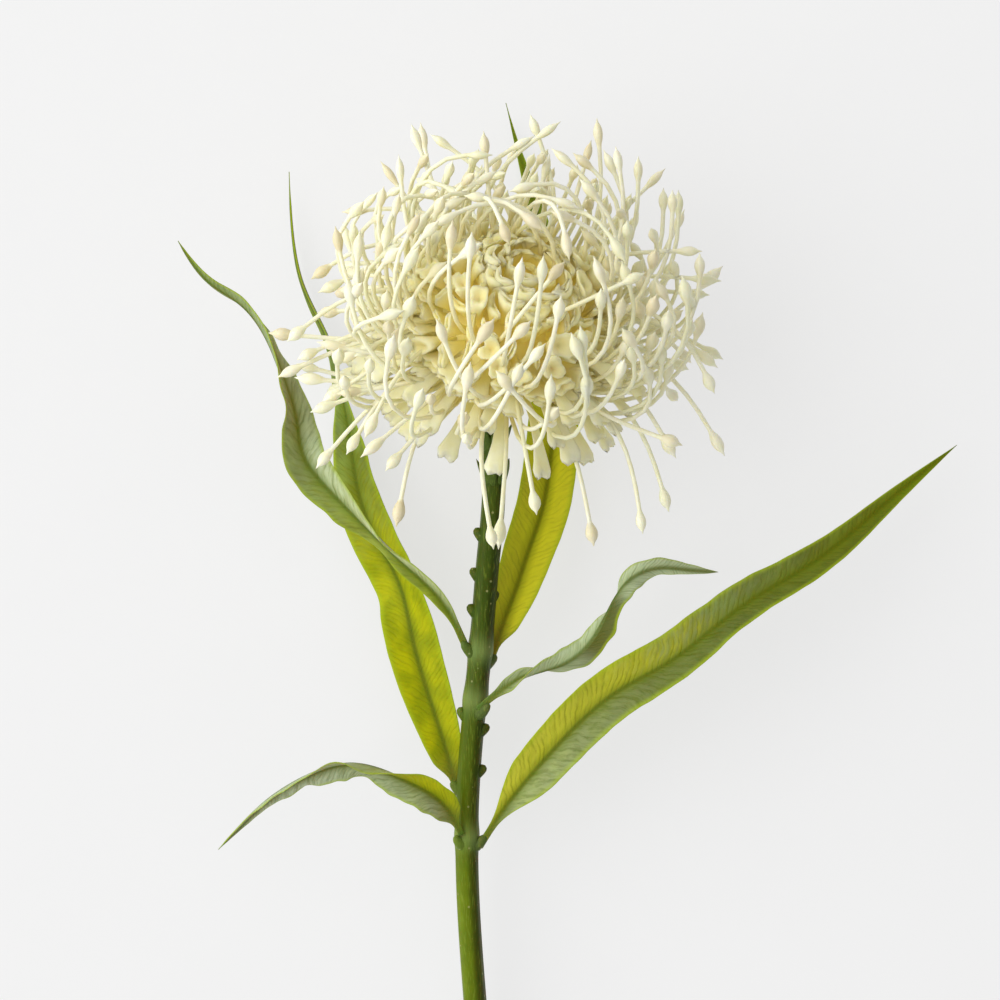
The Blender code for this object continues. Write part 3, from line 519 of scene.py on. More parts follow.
# Each leaf: half width, two exponents that set where it is widest, fold at the midrib in
# degrees, the share of its length that narrows into a petiole, and the midrib as rows of x, y, z
# and the blade's roll in degrees.
LEAVES = {
    "upper_left": (5.8, 1.1, 1.1, 15, 0.1, (
        (-29.2, 20.4, 28.4, 10), (-35.2, 32.0, 32.0, 25), (-46.6, 43.5, 35.0, 62),
        (-51.9, 48.6, 35.0, 74), (-59.4, 56.0, 35.0, 45), (-68.0, 64.8, 34.0, 12),
        (-72.2, 70.7, 34.0, -8), (-74.3, 80.8, 34.5, -42), (-77.4, 91.1, 36.0, -68),
        (-81.6, 102.0, 38.0, -85), (-88.9, 111.7, 40.0, -108), (-95.9, 116.4, 42.0, -120),
        (-105.0, 127.9, 44.0, -130),
    )),
    "behind_left": (7.6, 0.55, 1.45, 15, 0.05, (
        (-31.6, -18.6, 19.0, 8), (-35.4, -5.4, 18.0, 8), (-38.9, 5.4, 17.0, 8),
        (-43.6, 21.6, 15.0, 12), (-47.1, 36.4, 13.0, 34), (-54.8, 51.3, 10.5, 18),
        (-58.7, 62.2, 8.0, 20), (-60.7, 74.5, 6.0, 36), (-62.9, 88.2, 5.2, 64),
        (-65.9, 100.5, 5.0, 74), (-69.8, 109.3, 4.6, 76), (-73.9, 118.3, 4.2, 77),
        (-76.4, 129.3, 4.0, 78), (-77.7, 149.3, 4.0, 70),
    )),
    "lower_left": (5.8, 0.5, 1.2, 28, 0.08, (
        (-31.0, -29.0, 24.5, 0), (-33.0, -25.0, 26.4, 0), (-37.0, -20.4, 29.4, 5),
        (-43.5, -16.2, 32.0, 25), (-48.6, -13.8, 33.0, 58), (-53.6, -12.0, 33.2, 76),
        (-60.6, -11.0, 33.0, 62), (-70.3, -13.8, 30.0, 60), (-77.7, -18.0, 25.0, 72),
        (-84.8, -23.4, 19.0, 66), (-92.0, -30.7, 12.5, 55), (-96.7, -35.7, 9.0, 40),
    )),
    "lower_right": (7.7, 0.45, 1.0, 24, 0.15, (
        (-24.6, -32.5, 21.2, 0), (-18.7, -23.2, 25.0, 0), (-9.3, -11.4, 29.0, 0),
        (1.4, 0.2, 31.5, 2), (12.0, 8.8, 33.0, 8), (22.6, 14.7, 33.5, 16),
        (33.3, 22.2, 33.0, 22), (44.1, 30.7, 32.0, 24), (60.3, 40.5, 29.0, 14),
        (71.2, 48.0, 26.0, 4), (82.3, 57.3, 22.5, -2), (93.4, 66.3, 19.0, 0),
        (103.7, 74.4, 16.0, 0),
    )),
    "middle_right": (4.2, 0.8, 0.9, 26, 0.12, (
        (-24.6, 4.6, 28.4, 10), (-18.7, 9.2, 30.0, 20), (-11.4, 13.2, 32.0, 82),
        (-4.0, 15.5, 33.5, 150), (1.6, 18.9, 34.2, 186), (6.9, 25.9, 34.7, 222),
        (10.6, 32.9, 34.7, 252), (15.2, 38.6, 34.0, 194), (21.3, 41.3, 33.0, 165),
        (29.4, 41.0, 31.0, 165), (38.4, 40.2, 28.5, 170),
    )),
    "behind_bloom": (7.6, 0.6, 1.35, 16, 0.06, (
        (-22.2, 17.2, 23.8, 10), (-19.3, 25.8, 22.0, 5), (-15.8, 35.2, 19.5, 0),
        (-12.2, 46.0, 16.0, 0), (-8.6, 56.8, 12.5, 0), (-6.6, 67.7, 9.0, 0),
        (-5.4, 81.4, 4.2, 0), (-5.2, 97.9, 1.4, 0), (-5.7, 114.3, 0.5, 0),
        (-8.2, 130.8, 0.5, 0), (-12.0, 145.9, 1.3, 10), (-15.3, 156.8, 2.5, 30),
        (-18.4, 168.1, 4.5, 45),
    )),
}

# How yellow the left and right half of each blade are at its base, partly painted light that
# shines through it, how far up that goes, how much grey down the left and right half wear at the
# base, how much the whole tip wears, how close its veins stand, how strong the broad bands between
# them are, how much painted light brightens its yellow, and how deep a green it takes beyond its
# base, partly painted shade that is strongest on its right half.
LEAF_TINTS = {
    "upper_left": (0.3, 0.3, 0.4, 0.1, 1.1, 0.35, 0.8, 0.25, 0.3, 0.0),
    "behind_left": (1.0, 1.0, 0.45, 0.05, 0.05, 0.1, 0.9, 0.25, 0.0, 0.0),
    "lower_left": (0.1, 1.0, 0.32, 0.5, 0.25, 1.0, 1.2, 0.4, 0.2, 0.0),
    "lower_right": (0.85, 0.1, 0.45, 0.35, 0.36, 0.04, 0.8, 0.5, 0.85, 1.15),
    "middle_right": (0.1, 0.1, 0.3, 0.7, 0.7, 1.0, 1.3, 0.3, 0.0, 0.0),
    "behind_bloom": (0.7, 1.0, 0.6, 0.0, 0.0, 0.05, 0.9, 0.25, 0.9, 0.0),
}

# Veins, in millimetres on the blade: their slant, curve and slow bend, how far apart they and the
# broad bands stand, and how far the bands wander. Streaks are stretched by shares along and across.
VEIN_SLANT = -1.35
VEIN_CURVE = 0.06
VEIN_BEND = 4.0
VEIN_GAP = 0.72
BAND_GAP = 2.1
BAND_WANDER = 6.0
STREAK_STRETCH = (0.9, 0.24)

# Colours of a blade's plain green and of its yellow, which is partly painted light that shines
# through it, and the coats over them as for the bark.
LEAF_GREEN = (104, 132, 4)
LEAF_YELLOW_AND_PAINTED_LIGHT = (168, 170, 0)
# Of these coats the bright yellow one is painted light, the deep green one is partly painted shade,
# and the dark one of the turned strip is painted shade.
LEAF_COATS = {
    "patch": (1.0, 62, 92, 0), "down": (1.0, 192, 203, 164), "streak": (1.0, 70, 98, 22),
    "olive": (1.0, 126, 140, 0), "sun": (1.0, 212, 208, 30), "band": (1.0, 58, 90, 12),
    "deep": (1.0, 50, 80, 10), "inner": (0.55, 74, 104, 4), "underside": (0.45, 186, 204, 156),
    "tip": (0.7, 92, 126, 4), "turned": (0.95, 54, 72, 12), "vein": (1.0, 52, 80, 12),
    "midrib": (0.8, 56, 88, 4), "margin": (0.7, 150, 172, 18), "foot": (0.75, 84, 108, 34),
}


def blade_frame(leaf, steps):
    """A leaf's midrib with its side and face directions, its half width in mm, and its length.

    Along the midrib the half width is s^p (1-s)^q, scaled to peak at the leaf's own half width
    and eased in over the petiole. The root of the sum of squares joins it with the midrib's own.
    """
    half_width, p, q, _, petiole, rows = leaf
    line = smooth_path(rows, np.linspace(0, 1, steps))
    spine = line[:, :3]
    roll = np.radians(line[:, 3])[:, None]
    along = unit(np.gradient(spine, axis=0))
    flat_side = unit(np.cross(along, (0, 0, 1)))
    flat_face = np.cross(flat_side, along)
    side = np.cos(roll) * flat_side + np.sin(roll) * flat_face
    face = np.cos(roll) * flat_face - np.sin(roll) * flat_side
    s = np.linspace(0, 1, steps)
    widest = p / (p + q)
    shape = (s ** p * (1 - s) ** q) / (widest ** p * (1 - widest) ** q)
    ease = np.clip(s / petiole, 0, 1)
    blade = half_width * shape * ease ** 2 * (3 - 2 * ease)
    width = np.sqrt(blade ** 2 + (SPINE_HALF_WIDTH * (1 - s) ** 2 + TIP_HALF_WIDTH) ** 2)
    length = np.linalg.norm(np.diff(spine, axis=0), axis=1).sum()
    return spine, side, face, width, length


def spread_marks(marks, points):
    """Each mark repeated over all the points that it holds for."""
    return {label: np.broadcast_to(value, points.shape[:-1]) for label, value in marks.items()}


def blade_surface(leaf, ruffle_height, painted_shade_part):
    """A closed leaf: rings that run over its upper face from left to right and back underneath.

    With x from -1 to 1 across, the middle surface lies x times the half width to the side and
    rises by a rounded V. It adds a wave that grows with |x|^2.5, and its margin wavers a little.
    The faces stand off it by the half thickness times a rounded rim, with a rib below the midrib
    and a groove above. The turned mark, where the material paints shade, is a flat-topped bell along
    the left half.
    """
    spine, side, face, width, length = blade_frame(leaf, BLADE_STEPS)
    fold = math.radians(leaf[3])
    s = np.linspace(0, 1, BLADE_STEPS)[:, None]
    upper = np.sin(np.linspace(-np.pi / 2, np.pi / 2, BLADE_COLUMNS))
    x = np.concatenate((upper, upper[-2:0:-1]))[None]
    over = np.concatenate((np.ones(BLADE_COLUMNS), -np.ones(BLADE_COLUMNS - 2)))[None]
    turns = 2 * np.pi * s * length / RUFFLE_LENGTH
    waver = np.sin(2.1 * turns + 1.3 * np.sign(x)) + 0.7 * np.sin(3.6 * turns + 2 * np.sign(x))
    reach = x * width[:, None] * (1 + EDGE_WAVER * ruffle_height ** 3 * waver * x ** 2)
    rounded = np.sqrt(reach ** 2 + FOLD_ROUNDING ** 2) - FOLD_ROUNDING
    wave = np.sin(turns + 2.1 * np.sign(x) + 3 * s) + 0.6 * np.sin(1.7 * turns + np.sign(x))
    breadth = np.clip(width / RUFFLED_WIDTH, 0, 1)[:, None]
    ruffle = ruffle_height * wave * np.abs(x) ** RUFFLE_POWER * np.sin(np.pi * s) * breadth
    petiole = np.exp(-(s * length / PETIOLE_LENGTH) ** 2)
    half = BLADE_HALF_THICKNESS + (PETIOLE_HALF_THICKNESS - BLADE_HALF_THICKNESS) * petiole
    half = np.minimum(half, TIP_THINNESS[0] * width[:, None] + TIP_THINNESS[1])
    rim = np.sqrt(np.clip(1 - x ** 2, 0, 1)) ** RIM_ROUNDNESS
    rib = np.exp(-(reach / RIB_WIDTH) ** 2) * np.clip(width / RIBBED_WIDTH, 0, 1)[:, None]
    rib = RIB_HEIGHT * rib * (1 - petiole)
    height = over * half * rim - rib * np.where(over > 0, GROOVE_SHARE, 1.0)
    out = np.cos(fold) * reach
    lift = np.sin(fold) * rounded + ruffle + height
    points = spine[:, None] + out[..., None] * side[:, None] + lift[..., None] * face[:, None]
    root = PETIOLE_ROOT * np.exp(-(s * length / ROOT_LENGTH) ** 2)[..., None]
    points -= root * unit(spine[1] - spine[0])
    points[..., 2] = np.maximum(points[..., 2], 0.0)
    # The turned mark: where the material paints shade on the left half.
    turned = np.exp(-((s - painted_shade_part[0]) / painted_shade_part[1]) ** 6) * (x < -0.05)
    marks = {"along": s, "across": x, "rib_mm": s * length, "side_mm": reach, "over": over,
             "turned": turned}
    return points, spread_marks(marks, points)


def vein_group():
    """Lateral veins: a herringbone of fine lines that leave the midrib forwards and bend a little.
    Slow noise breaks them up. Broad soft bands and streaks of the same slant run between them."""
    inputs = (("Closeness", "Float", 1.0),)
    outputs = (("Main", "Float"), ("Band", "Float"), ("Streak", "Float"), ("Patch", "Float"))
    tree, given, out = new_group("leaf_veins", inputs, outputs)
    side_mm = mark(tree, "side_mm")
    rib_mm = mark(tree, "rib_mm")
    out_mm = calc(tree, "ABSOLUTE", side_mm)
    flat = put(tree, "CombineXYZ", {0: rib_mm, 1: side_mm}).outputs[0]
    bend = noise(tree, flat, 0.16, 2.0)
    slant = times_plus(tree, out_mm, VEIN_SLANT, rib_mm)
    slant = times_plus(tree, calc(tree, "POWER", out_mm, 2.0), VEIN_CURVE, slant)
    slant = times_plus(tree, bend, VEIN_BEND, slant)
    rough = noise(tree, flat, 0.45, 4.0)
    wandering = times_plus(tree, rough, BAND_WANDER, slant)
    broad = calc(tree, "PINGPONG", wandering, BAND_GAP)
    slant = times(tree, slant, given["Closeness"])
    tooth = rise(tree, calc(tree, "PINGPONG", slant, VEIN_GAP), 0.5, 0.0)
    stretch = {0: times(tree, slant, STREAK_STRETCH[0]), 1: times(tree, side_mm, STREAK_STRETCH[1])}
    leaning = put(tree, "CombineXYZ", stretch).outputs[0]
    streak = noise(tree, leaning, 1.0, 4.0, 0.62)
    patch = noise(tree, flat, 0.13, 3.0)
    tree.links.new(times(tree, tooth, rise(tree, streak, 0.36, 0.6)), out["Main"])
    band = times(tree, rise(tree, broad, 1.5, 0.4), rise(tree, streak, 0.3, 0.6))
    tree.links.new(band, out["Band"])
    tree.links.new(streak, out["Streak"])
    tree.links.new(patch, out["Patch"])
    return tree


VEINS = vein_group()


def leaf_material(name, tint):
    """A living blade: yellow-green from its base, partly painted light that shines through it, and
    along its margins, grey-green on its face, with a dark midrib, herringbone veins and a pale silky
    down. Painted light brightens the yellow of some blades, and painted shade darkens the turned
    strip and partly the deeper green beyond the base."""
    left_yellow, right_yellow, reach, left_grey, right_grey, tip_grey = tint[:6]
    closeness, bands, sunny, deep = tint[6:]
    material, tree = new_material("leaf_" + name)
    veins = put(tree, "Group", {"Closeness": closeness}, node_tree=VEINS).outputs
    along = mark(tree, "along")
    across = mark(tree, "across")
    over = mark(tree, "over")
    right = rise(tree, across, -0.18, 0.18)
    base_grey = times_plus(tree, right, right_grey - left_grey, left_grey)
    upward = rise(tree, along, 0.2, 0.8)
    from_base = times(tree, base_grey, calc(tree, "SUBTRACT", 1.0, upward))
    grey = times_plus(tree, upward, tip_grey, from_base)
    # Yellow at the base: partly the blade's own colour, partly painted light that shines through it.
    yellow = times_plus(tree, right, right_yellow - left_yellow, left_yellow)
    patch = rise(tree, veins["Patch"], 0.35, 0.65)
    streaked = times_plus(tree, grey, -0.35, 0.6)
    streak = times(tree, rise(tree, veins["Streak"], 0.4, 0.7), streaked)
    base = coat(tree, paint(*LEAF_GREEN), LEAF_COATS, patch=patch, down=grey, streak=streak)
    olive = rise(tree, veins["Patch"], 0.35, 0.7)
    # Painted light: a brighter yellow on the leaves that lie in shade.
    warm = coat(tree, paint(*LEAF_YELLOW_AND_PAINTED_LIGHT), LEAF_COATS, olive=olive, sun=sunny)
    fade = rise(tree, along, reach + 0.22, reach - 0.28)
    wavered = times_plus(tree, veins["Patch"], 0.7, fade)
    wavered = times_plus(tree, veins["Streak"], 0.8, wavered)
    yellow_and_painted_light = times(tree, rise(tree, wavered, 0.75, 1.5), yellow)
    base = mix(tree, yellow_and_painted_light, base, warm)
    banded = times_plus(tree, yellow_and_painted_light, -0.45 * bands, 0.75 * bands)
    # Beyond the base, a deeper green that is partly painted shade, strongest on the right half.
    deepened = times(tree, rise(tree, along, 0.1, 0.4), deep)
    out_mm = calc(tree, "ABSOLUTE", mark(tree, "side_mm"))
    veined = times_plus(tree, grey, 0.2, 0.16)
    base = coat(tree, base, LEAF_COATS,
                band=times(tree, veins["Band"], banded),
                deep=times(tree, deepened, times_plus(tree, right, 0.3, 0.25)),
                inner=rise(tree, out_mm, 3.0, 0.5),
                underside=times(tree, rise(tree, over, 0.2, -0.2), grey),
                tip=times(tree, rise(tree, along, 0.78, 0.99), 1 - tip_grey),
                # turned: a strip of painted shade on the left half.
                turned=mark(tree, "turned"),
                vein=times(tree, veins["Main"], veined),
                midrib=rise(tree, out_mm, 1.1, 0.15),
                margin=rise(tree, calc(tree, "ABSOLUTE", across), 0.74, 1.0),
                foot=rise(tree, mark(tree, "rib_mm"), 12.0, 2.0))
    relief = times(tree, veins["Main"], times(tree, over, -1.0))
    finish_surface(tree, base, grain_mm=0.8, roughness=0.5, relief=0.5, relief_mm=0.18,
                   specular=0.08, subsurface=0.1, extra_height=relief)
    return material


def build_leaves():
    """One piece for each leaf, from its midrib rows and its tint."""
    for name, leaf in LEAVES.items():
        painted_shade_part = PAINTED_SHADE_PARTS.get(name, NO_PAINTED_SHADE)
        points, marks = blade_surface(leaf, RUFFLE_HEIGHTS[name], painted_shade_part)
        faces = tube_faces(1, *points.shape[:2])
        piece = make_piece("blade_" + name, [(points, faces)], marks)
        piece.data.materials.append(leaf_material(name, LEAF_TINTS[name]))
        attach(piece, "root")
        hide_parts("leaf_" + name)


build_leaves()


# Receptacle and florets: a fleshy cone at the stem's end, set all over with cream straps that
# flare, fold and bend out at their lobed ends. They are golden towards the core, partly their own
# colour and partly painted light that sinks between them, and the crown carries a faint painted glow.
HEAD_CENTRE = np.array((-18.7, 102.8, 50.0))
HEAD_AXIS = unit((0.25, 0.65, 0.72))
HEAD_RIGHT = unit(np.cross((0, 1, 0), HEAD_AXIS))
HEAD_OTHER = np.cross(HEAD_AXIS, HEAD_RIGHT)

# Turns round the bloom's axis are in radians, here and for the styles.
GOLDEN_ANGLE = math.pi * (3 - math.sqrt(5))
FLORET_PHASE = 2.0

# The cone, as pairs of height along the axis from the bloom's centre and radius.
CORE_PROFILE = ((-12.6, 0.1), (-12.5, 3.4), (-12.3, 4.4), (-11.4, 10.5), (-6.5, 16.5), (0.5, 19.5),
                (7.5, 17.5), (12.5, 12.5), (14.0, 8.0), (10.0, 0.1))
CORE_SIDES = 32

# The spiral of florets: how many, between which polar angles, and where they leave the cone.
FLORET_COUNT = 340
FLORET_POLAR = (4.0, 128.0)
FLORET_ROOT = 11.0

# How far florets reach, how far that spreads, and how they bend, open, twist and flatten to fans.
# Pairs are of a polar angle from the bloom's axis and the value there.
FLORET_REACHES = ((0, 20), (8, 22), (16, 26), (26, 28.5), (60, 28.5), (84, 29), (96, 35),
                  (110, 42), (130, 45))
FLORET_SPREADS = ((80, 1.5), (108, 4.5))
FLORET_BENDS = ((0, 0), (12, -4), (26, -9), (45, -13), (60, -3), (75, 7), (105, 10), (130, 2))
FLORET_BEND_SPREAD = 5
FLORET_MOUTHS = ((0, 1.6), (20, 2.3), (40, 2.9), (60, 3.2), (90, 3.0), (120, 3.0))
FLORET_MOUTH_SPREAD = 0.2
FLORET_TWISTS = ((28, 12), (46, 60), (58, 150), (75, 22))
FLORET_FANS = ((0, 1.0), (28, 1.0), (46, 0.2), (60, 0.0), (84, 1.0))
LOOSE_FANS = 0.9
LOOSE_ABOVE = -0.4

# The polar angle where the skirt begins, and how empty it is from its left to its right side.
SKIRT_POLAR = 92
SKIRT_EMPTY = ((-0.7, 0.1), (-0.2, 0.4), (0.6, 0.35))

# One floret: its tube and mouth, the lobes of a funnel, and the flat, cupped and lobed fan.
FLORET_TUBE = 0.95
FLORET_SIDES = 14
FLORET_FULLNESS = 1.22
LOBE_PHASE = 0.25
LOBE_VARIETY = 0.3
LOBE_COUNTS = (3, 4)
FEWER_LOBES_BELOW = -0.2
LOBE_SHARPNESS = 0.7
LOBE_CUT = 0.5
LOBE_RISE = 1.2
FAN_CUT = 2.2
CROWN_CUT_SHARE = 0.4
FAN_FLATNESS = 0.84
FAN_CUP = 0.8
CUP_FADE = (30.0, 70.0)

# Florets of the skirt on the side of the stem, where the spiral is left empty. Each is its end's
# place right of, above and over the bloom's centre, and half the width of its mouth. The last
# six fill the skirt up where the solids have fewer and larger ones.
STEM_SIDE = -0.3
STEM_SIDE_POLAR = 82
PLACED_BEND = 9
PLACED_FLORETS = (
    (-35, -12, 4, 2.4), (-33, -20, 9, 2.6), (-27, -27, 4, 2.8), (-21, -26, 15, 2.5),
    (-26, -18, 18, 2.5), (-16, -33, 2, 2.8), (-10, -28, 15, 2.9), (-3, -37, 9, 2.6),
    (-5, -26, 19, 2.4), (10, -38, 9, 2.7), (14, -30, 15, 2.6), (18, -24, 20, 2.8),
    (22, -34, 6, 3.3), (28, -30, 1, 3.0), (26, -24, 13, 3.1), (33, -21, 4, 2.9),
    (31, -13, 15, 2.6),
    (18, -34, 10, 2.8), (25, -28, 9, 3.0), (30, -26, 7, 2.7), (-24, -29, 9, 2.4),
    (-31, -23, 4, 2.4), (36, -16, 9, 2.4),
)

# Rings of a floret from its root over its edge into its dish: share of the length, share of the
# tube's radius, and shares of the mouth's radius on a funnel and on a fan.
FLORET_RINGS = ((0.0, 1.0, 0.0, 0.0), (0.5, 1.0, 0.03, 0.1), (0.7, 0.7, 0.26, 0.38),
                (0.86, 0.3, 0.66, 0.8), (0.955, 0.0, 0.98, 1.1), (1.0, 0.0, 0.86, 1.0),
                (0.985, 0.0, 0.5, 0.5), (0.93, 0.0, 0.1, 0.1))
FIRST_DISH_RING = 6

# Colour of a floret, the coats over it as for the bark, and its painted glow deep in the crown,
# which stands for light scattered between the straps.
FLORET_COLOUR = (250, 246, 214)
FLORET_COATS = {"cloud": (0.6, 244, 236, 180), "tone": (0.35, 244, 232, 168),
                "crown": (0.5, 250, 241, 190), "inner": (0.7, 248, 232, 150),
                "golden": (0.8, 246, 226, 116), "throat": (0.6, 232, 216, 120)}
FLORET_CLOUD_SIZE = 5.0
PAINTED_GLOW_COLOUR = (250, 234, 130)
PAINTED_GLOW_STRENGTH = 0.08


def scatter(index, salt):
    """A fixed draw from -1 to 1 for each index: the fraction of a large sine."""
    return 2 * np.mod(np.sin(index * 12.9898 + salt * 78.233) * 43758.5453, 1.0) - 1


def heading(polar, turn):
    """Directions at polar angles from the bloom's axis, turned round it."""
    polar, turn = np.broadcast_arrays(polar, turn)
    polar, turn = polar[..., None], turn[..., None]
    outward = np.cos(turn) * HEAD_RIGHT + np.sin(turn) * HEAD_OTHER
    return np.cos(polar) * HEAD_AXIS + np.sin(polar) * outward


def rise_share(value, low, high):
    """A straight ramp from 0 at low to 1 at high."""
    return np.clip((value - low) / (high - low), 0, 1)


def even_polar(index, count, limits):
    """Polar angles that share out the sphere between two limits evenly."""
    top, bottom = np.cos(np.radians(limits))
    return np.arccos(top + (bottom - top) * (index + 0.5) / count)


def floret_places():
    """Six columns for each floret: number, polar angle, turn, bend in degrees, reach, half width.

    Those of the spiral come first. A placed one's angles are read from the direction of its end.
    """
    index = np.arange(FLORET_COUNT)
    polar = even_polar(index, FLORET_COUNT, FLORET_POLAR)
    turn = index * GOLDEN_ANGLE + FLORET_PHASE
    degrees = np.degrees(polar)
    rightward, upward = heading(polar, turn).T[:2]
    empty = np.interp(rightward, *zip(*SKIRT_EMPTY))
    grows = (degrees < SKIRT_POLAR) | (scatter(index, 17) > 2 * empty - 1)
    grows &= (upward > STEM_SIDE) | (degrees < STEM_SIDE_POLAR)
    bend = np.interp(degrees, *zip(*FLORET_BENDS)) + FLORET_BEND_SPREAD * scatter(index, 8)
    spread = np.interp(degrees, *zip(*FLORET_SPREADS))
    reach = np.interp(degrees, *zip(*FLORET_REACHES)) + spread * scatter(index, 7)
    half_width = np.interp(degrees, *zip(*FLORET_MOUTHS))
    half_width *= 1 + FLORET_MOUTH_SPREAD * scatter(index, 11)
    spiral = np.column_stack((index, polar, turn, bend, reach, half_width))[grows]
    ends, half_width = np.split(np.array(PLACED_FLORETS, float), [3], axis=1)
    reach = np.linalg.norm(ends, axis=1)
    polar = np.arccos(ends @ HEAD_AXIS / reach) - math.radians(PLACED_BEND)
    turn = np.arctan2(ends @ HEAD_OTHER, ends @ HEAD_RIGHT)
    number = FLORET_COUNT + np.arange(len(ends))
    bend = np.full(len(ends), PLACED_BEND)
    return np.vstack((spiral, np.column_stack((number, polar, turn, bend, reach, half_width))))


def floret_surfaces():
    """Lobed funnels on a golden-angle spiral, which flatten into fans round the crown's hollow,
    down the sides, and here and there between.

    Each ring's radius is a share of the tube's plus a share of the mouth's. Between lobes the
    mouth is cut back by a power of a sine of the angle, and the lobes stand up. A fan's edge
    is cut back between lobes across its width instead, and round the crown the fan is cupped
    towards the axis by the square of the cosine.
    """
    index, polar, turn, bend, reach, half_width = floret_places().T[..., None, None]
    degrees = np.degrees(polar)
    bend = np.radians(bend)
    twist = np.radians(np.interp(degrees, *zip(*FLORET_TWISTS))) * scatter(index, 9)
    rings = (np.array(column, float)[None, :, None] for column in zip(*FLORET_RINGS))
    share, tube, mouth, fan_mouth = rings
    angle = np.linspace(0, 2 * np.pi, FLORET_SIDES, endpoint=False)[None, None]
    fewer, more = LOBE_COUNTS
    lobes = np.where(scatter(index, 10) > FEWER_LOBES_BELOW, more, fewer)
    lobe = np.abs(np.sin(angle * lobes / 2 + LOBE_PHASE)) ** LOBE_SHARPNESS
    lobe = lobe * (1 + LOBE_VARIETY * np.sin(angle + 3 * scatter(index, 12)))
    loose = LOOSE_FANS * (scatter(index, 19) > LOOSE_ABOVE)
    fan = np.maximum(np.interp(degrees, *zip(*FLORET_FANS)), loose)
    mouth = mouth + (fan_mouth - mouth) * fan
    out = heading(polar + bend * share ** 2, turn)
    back = unit(out - heading(polar + bend * share ** 2 + 0.01, turn))
    right = np.cross(out, back)
    side = np.cos(twist)[..., None] * right + np.sin(twist)[..., None] * back
    face = np.cross(side, out)
    skirtward = rise_share(degrees, *CUP_FADE)
    full = 1 + (FLORET_FULLNESS - 1) * (1 - fan * skirtward)
    wide = full * half_width
    cut = 1 - LOBE_CUT * (1 - fan) * mouth * (1 - lobe)
    radius = FLORET_TUBE * tube + wide * mouth * cut
    flat = 1 - FAN_FLATNESS * fan
    length = FLORET_ROOT + (reach - FLORET_ROOT) * share + LOBE_RISE * (1 - fan) * mouth * lobe
    ripple = np.sin(np.pi * (np.cos(angle) + 1) * (lobes - 1) / 2 + 0.12)
    ripple = np.abs(ripple) ** LOBE_SHARPNESS
    cut_back = FAN_CUT * fan * (CROWN_CUT_SHARE + (1 - CROWN_CUT_SHARE) * skirtward)
    length = length - cut_back * np.clip(2.5 * share - 1.5, 0, 1) ** 2 * (1 - ripple)
    points = HEAD_CENTRE + out * length[..., None] + side * (radius * np.cos(angle))[..., None]
    cup = FAN_CUP * fan * mouth * wide * (1 - skirtward) * (np.cos(angle) ** 2 - 0.5)
    points = points + face * (flat * radius * np.sin(angle) + cup)[..., None]
    dish = (np.arange(len(FLORET_RINGS)) >= FIRST_DISH_RING)[None, :, None]
    inside = np.clip(1 - mouth, 0, 1) * dish
    tone = 0.5 + 0.5 * scatter(index, 13)
    return points, spread_marks({"throat": inside, "tone": tone}, points)


def head_depth(tree):
    """How far a point lies from the bloom's centre, in mm, and the cosine of its angle from the
    bloom's axis, which is 1 at the crown."""
    ends = {0: own_place(tree), 1: tuple(HEAD_CENTRE * MM)}
    offset = put(tree, "VectorMath", ends, operation="SUBTRACT").outputs[0]
    length = put(tree, "VectorMath", {0: offset}, operation="LENGTH").outputs["Value"]
    height = put(tree, "VectorMath", {0: offset, 1: tuple(HEAD_AXIS)}, operation="DOT_PRODUCT")
    crown = calc(tree, "DIVIDE", height.outputs["Value"], length)
    return times(tree, length, 1 / MM), crown


def floret_material():
    """Pale waxy straps: cream with faint clouds at their ends, golden towards the core, and most
    of all in the crown, where a faint painted emission stands for light scattered between them."""
    material, tree = new_material("floret_cream")
    depth, crown = head_depth(tree)
    golden = times(tree, rise(tree, depth, 29.0, 21.0), rise(tree, crown, 0.1, 0.8))
    base = mottle(tree, paint(*FLORET_COLOUR), FLORET_COATS["cloud"], FLORET_CLOUD_SIZE)
    base = coat(tree, base, FLORET_COATS,
                tone=mark(tree, "tone"),
                crown=rise(tree, crown, -0.1, 0.8),
                inner=rise(tree, depth, 31.0, 21.0),
                golden=golden,
                throat=mark(tree, "throat"))
    shader = finish_surface(tree, base, grain_mm=0.7, roughness=0.46, relief=0.3, relief_mm=0.15,
                            specular=0.3, subsurface=0.5)
    shader["Subsurface Radius"].default_value = (1.0, 0.8, 0.4)
    shader["Subsurface Scale"].default_value = 2 * MM
    # Painted glow: a faint emission where the crown is golden, for light scattered between the
    # straps.
    painted_glow = mix(tree, golden, paint(0, 0, 0), paint(*PAINTED_GLOW_COLOUR))
    tree.links.new(painted_glow, shader["Emission Color"])
    shader["Emission Strength"].default_value = PAINTED_GLOW_STRENGTH
    return material


def build_florets():
    """The straps and the turned cone that they stand on."""
    points, marks = floret_surfaces()
    material = floret_material()
    florets = make_piece("florets", [(points, tube_faces(*points.shape[:3]))], marks)
    heights, radii = np.array(CORE_PROFILE).T[..., None]
    cone = sweep(HEAD_CENTRE + HEAD_AXIS * heights, HEAD_RIGHT, radii, CORE_SIDES)
    none = np.zeros(cone.shape[:-1])
    receptacle = make_piece("receptacle", [(cone, tube_faces(1, *cone.shape[:2]))],
                            {"throat": none + 0.5, "tone": none})
    for piece in (florets, receptacle):
        piece.data.materials.append(material)
        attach(piece, "root")
        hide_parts("bloom")


build_florets()


# Styles: waxy ivory threads that spring from the florets, bend more and more towards their ends,
# and finish in a spindle-shaped pollen presenter with a fine point.

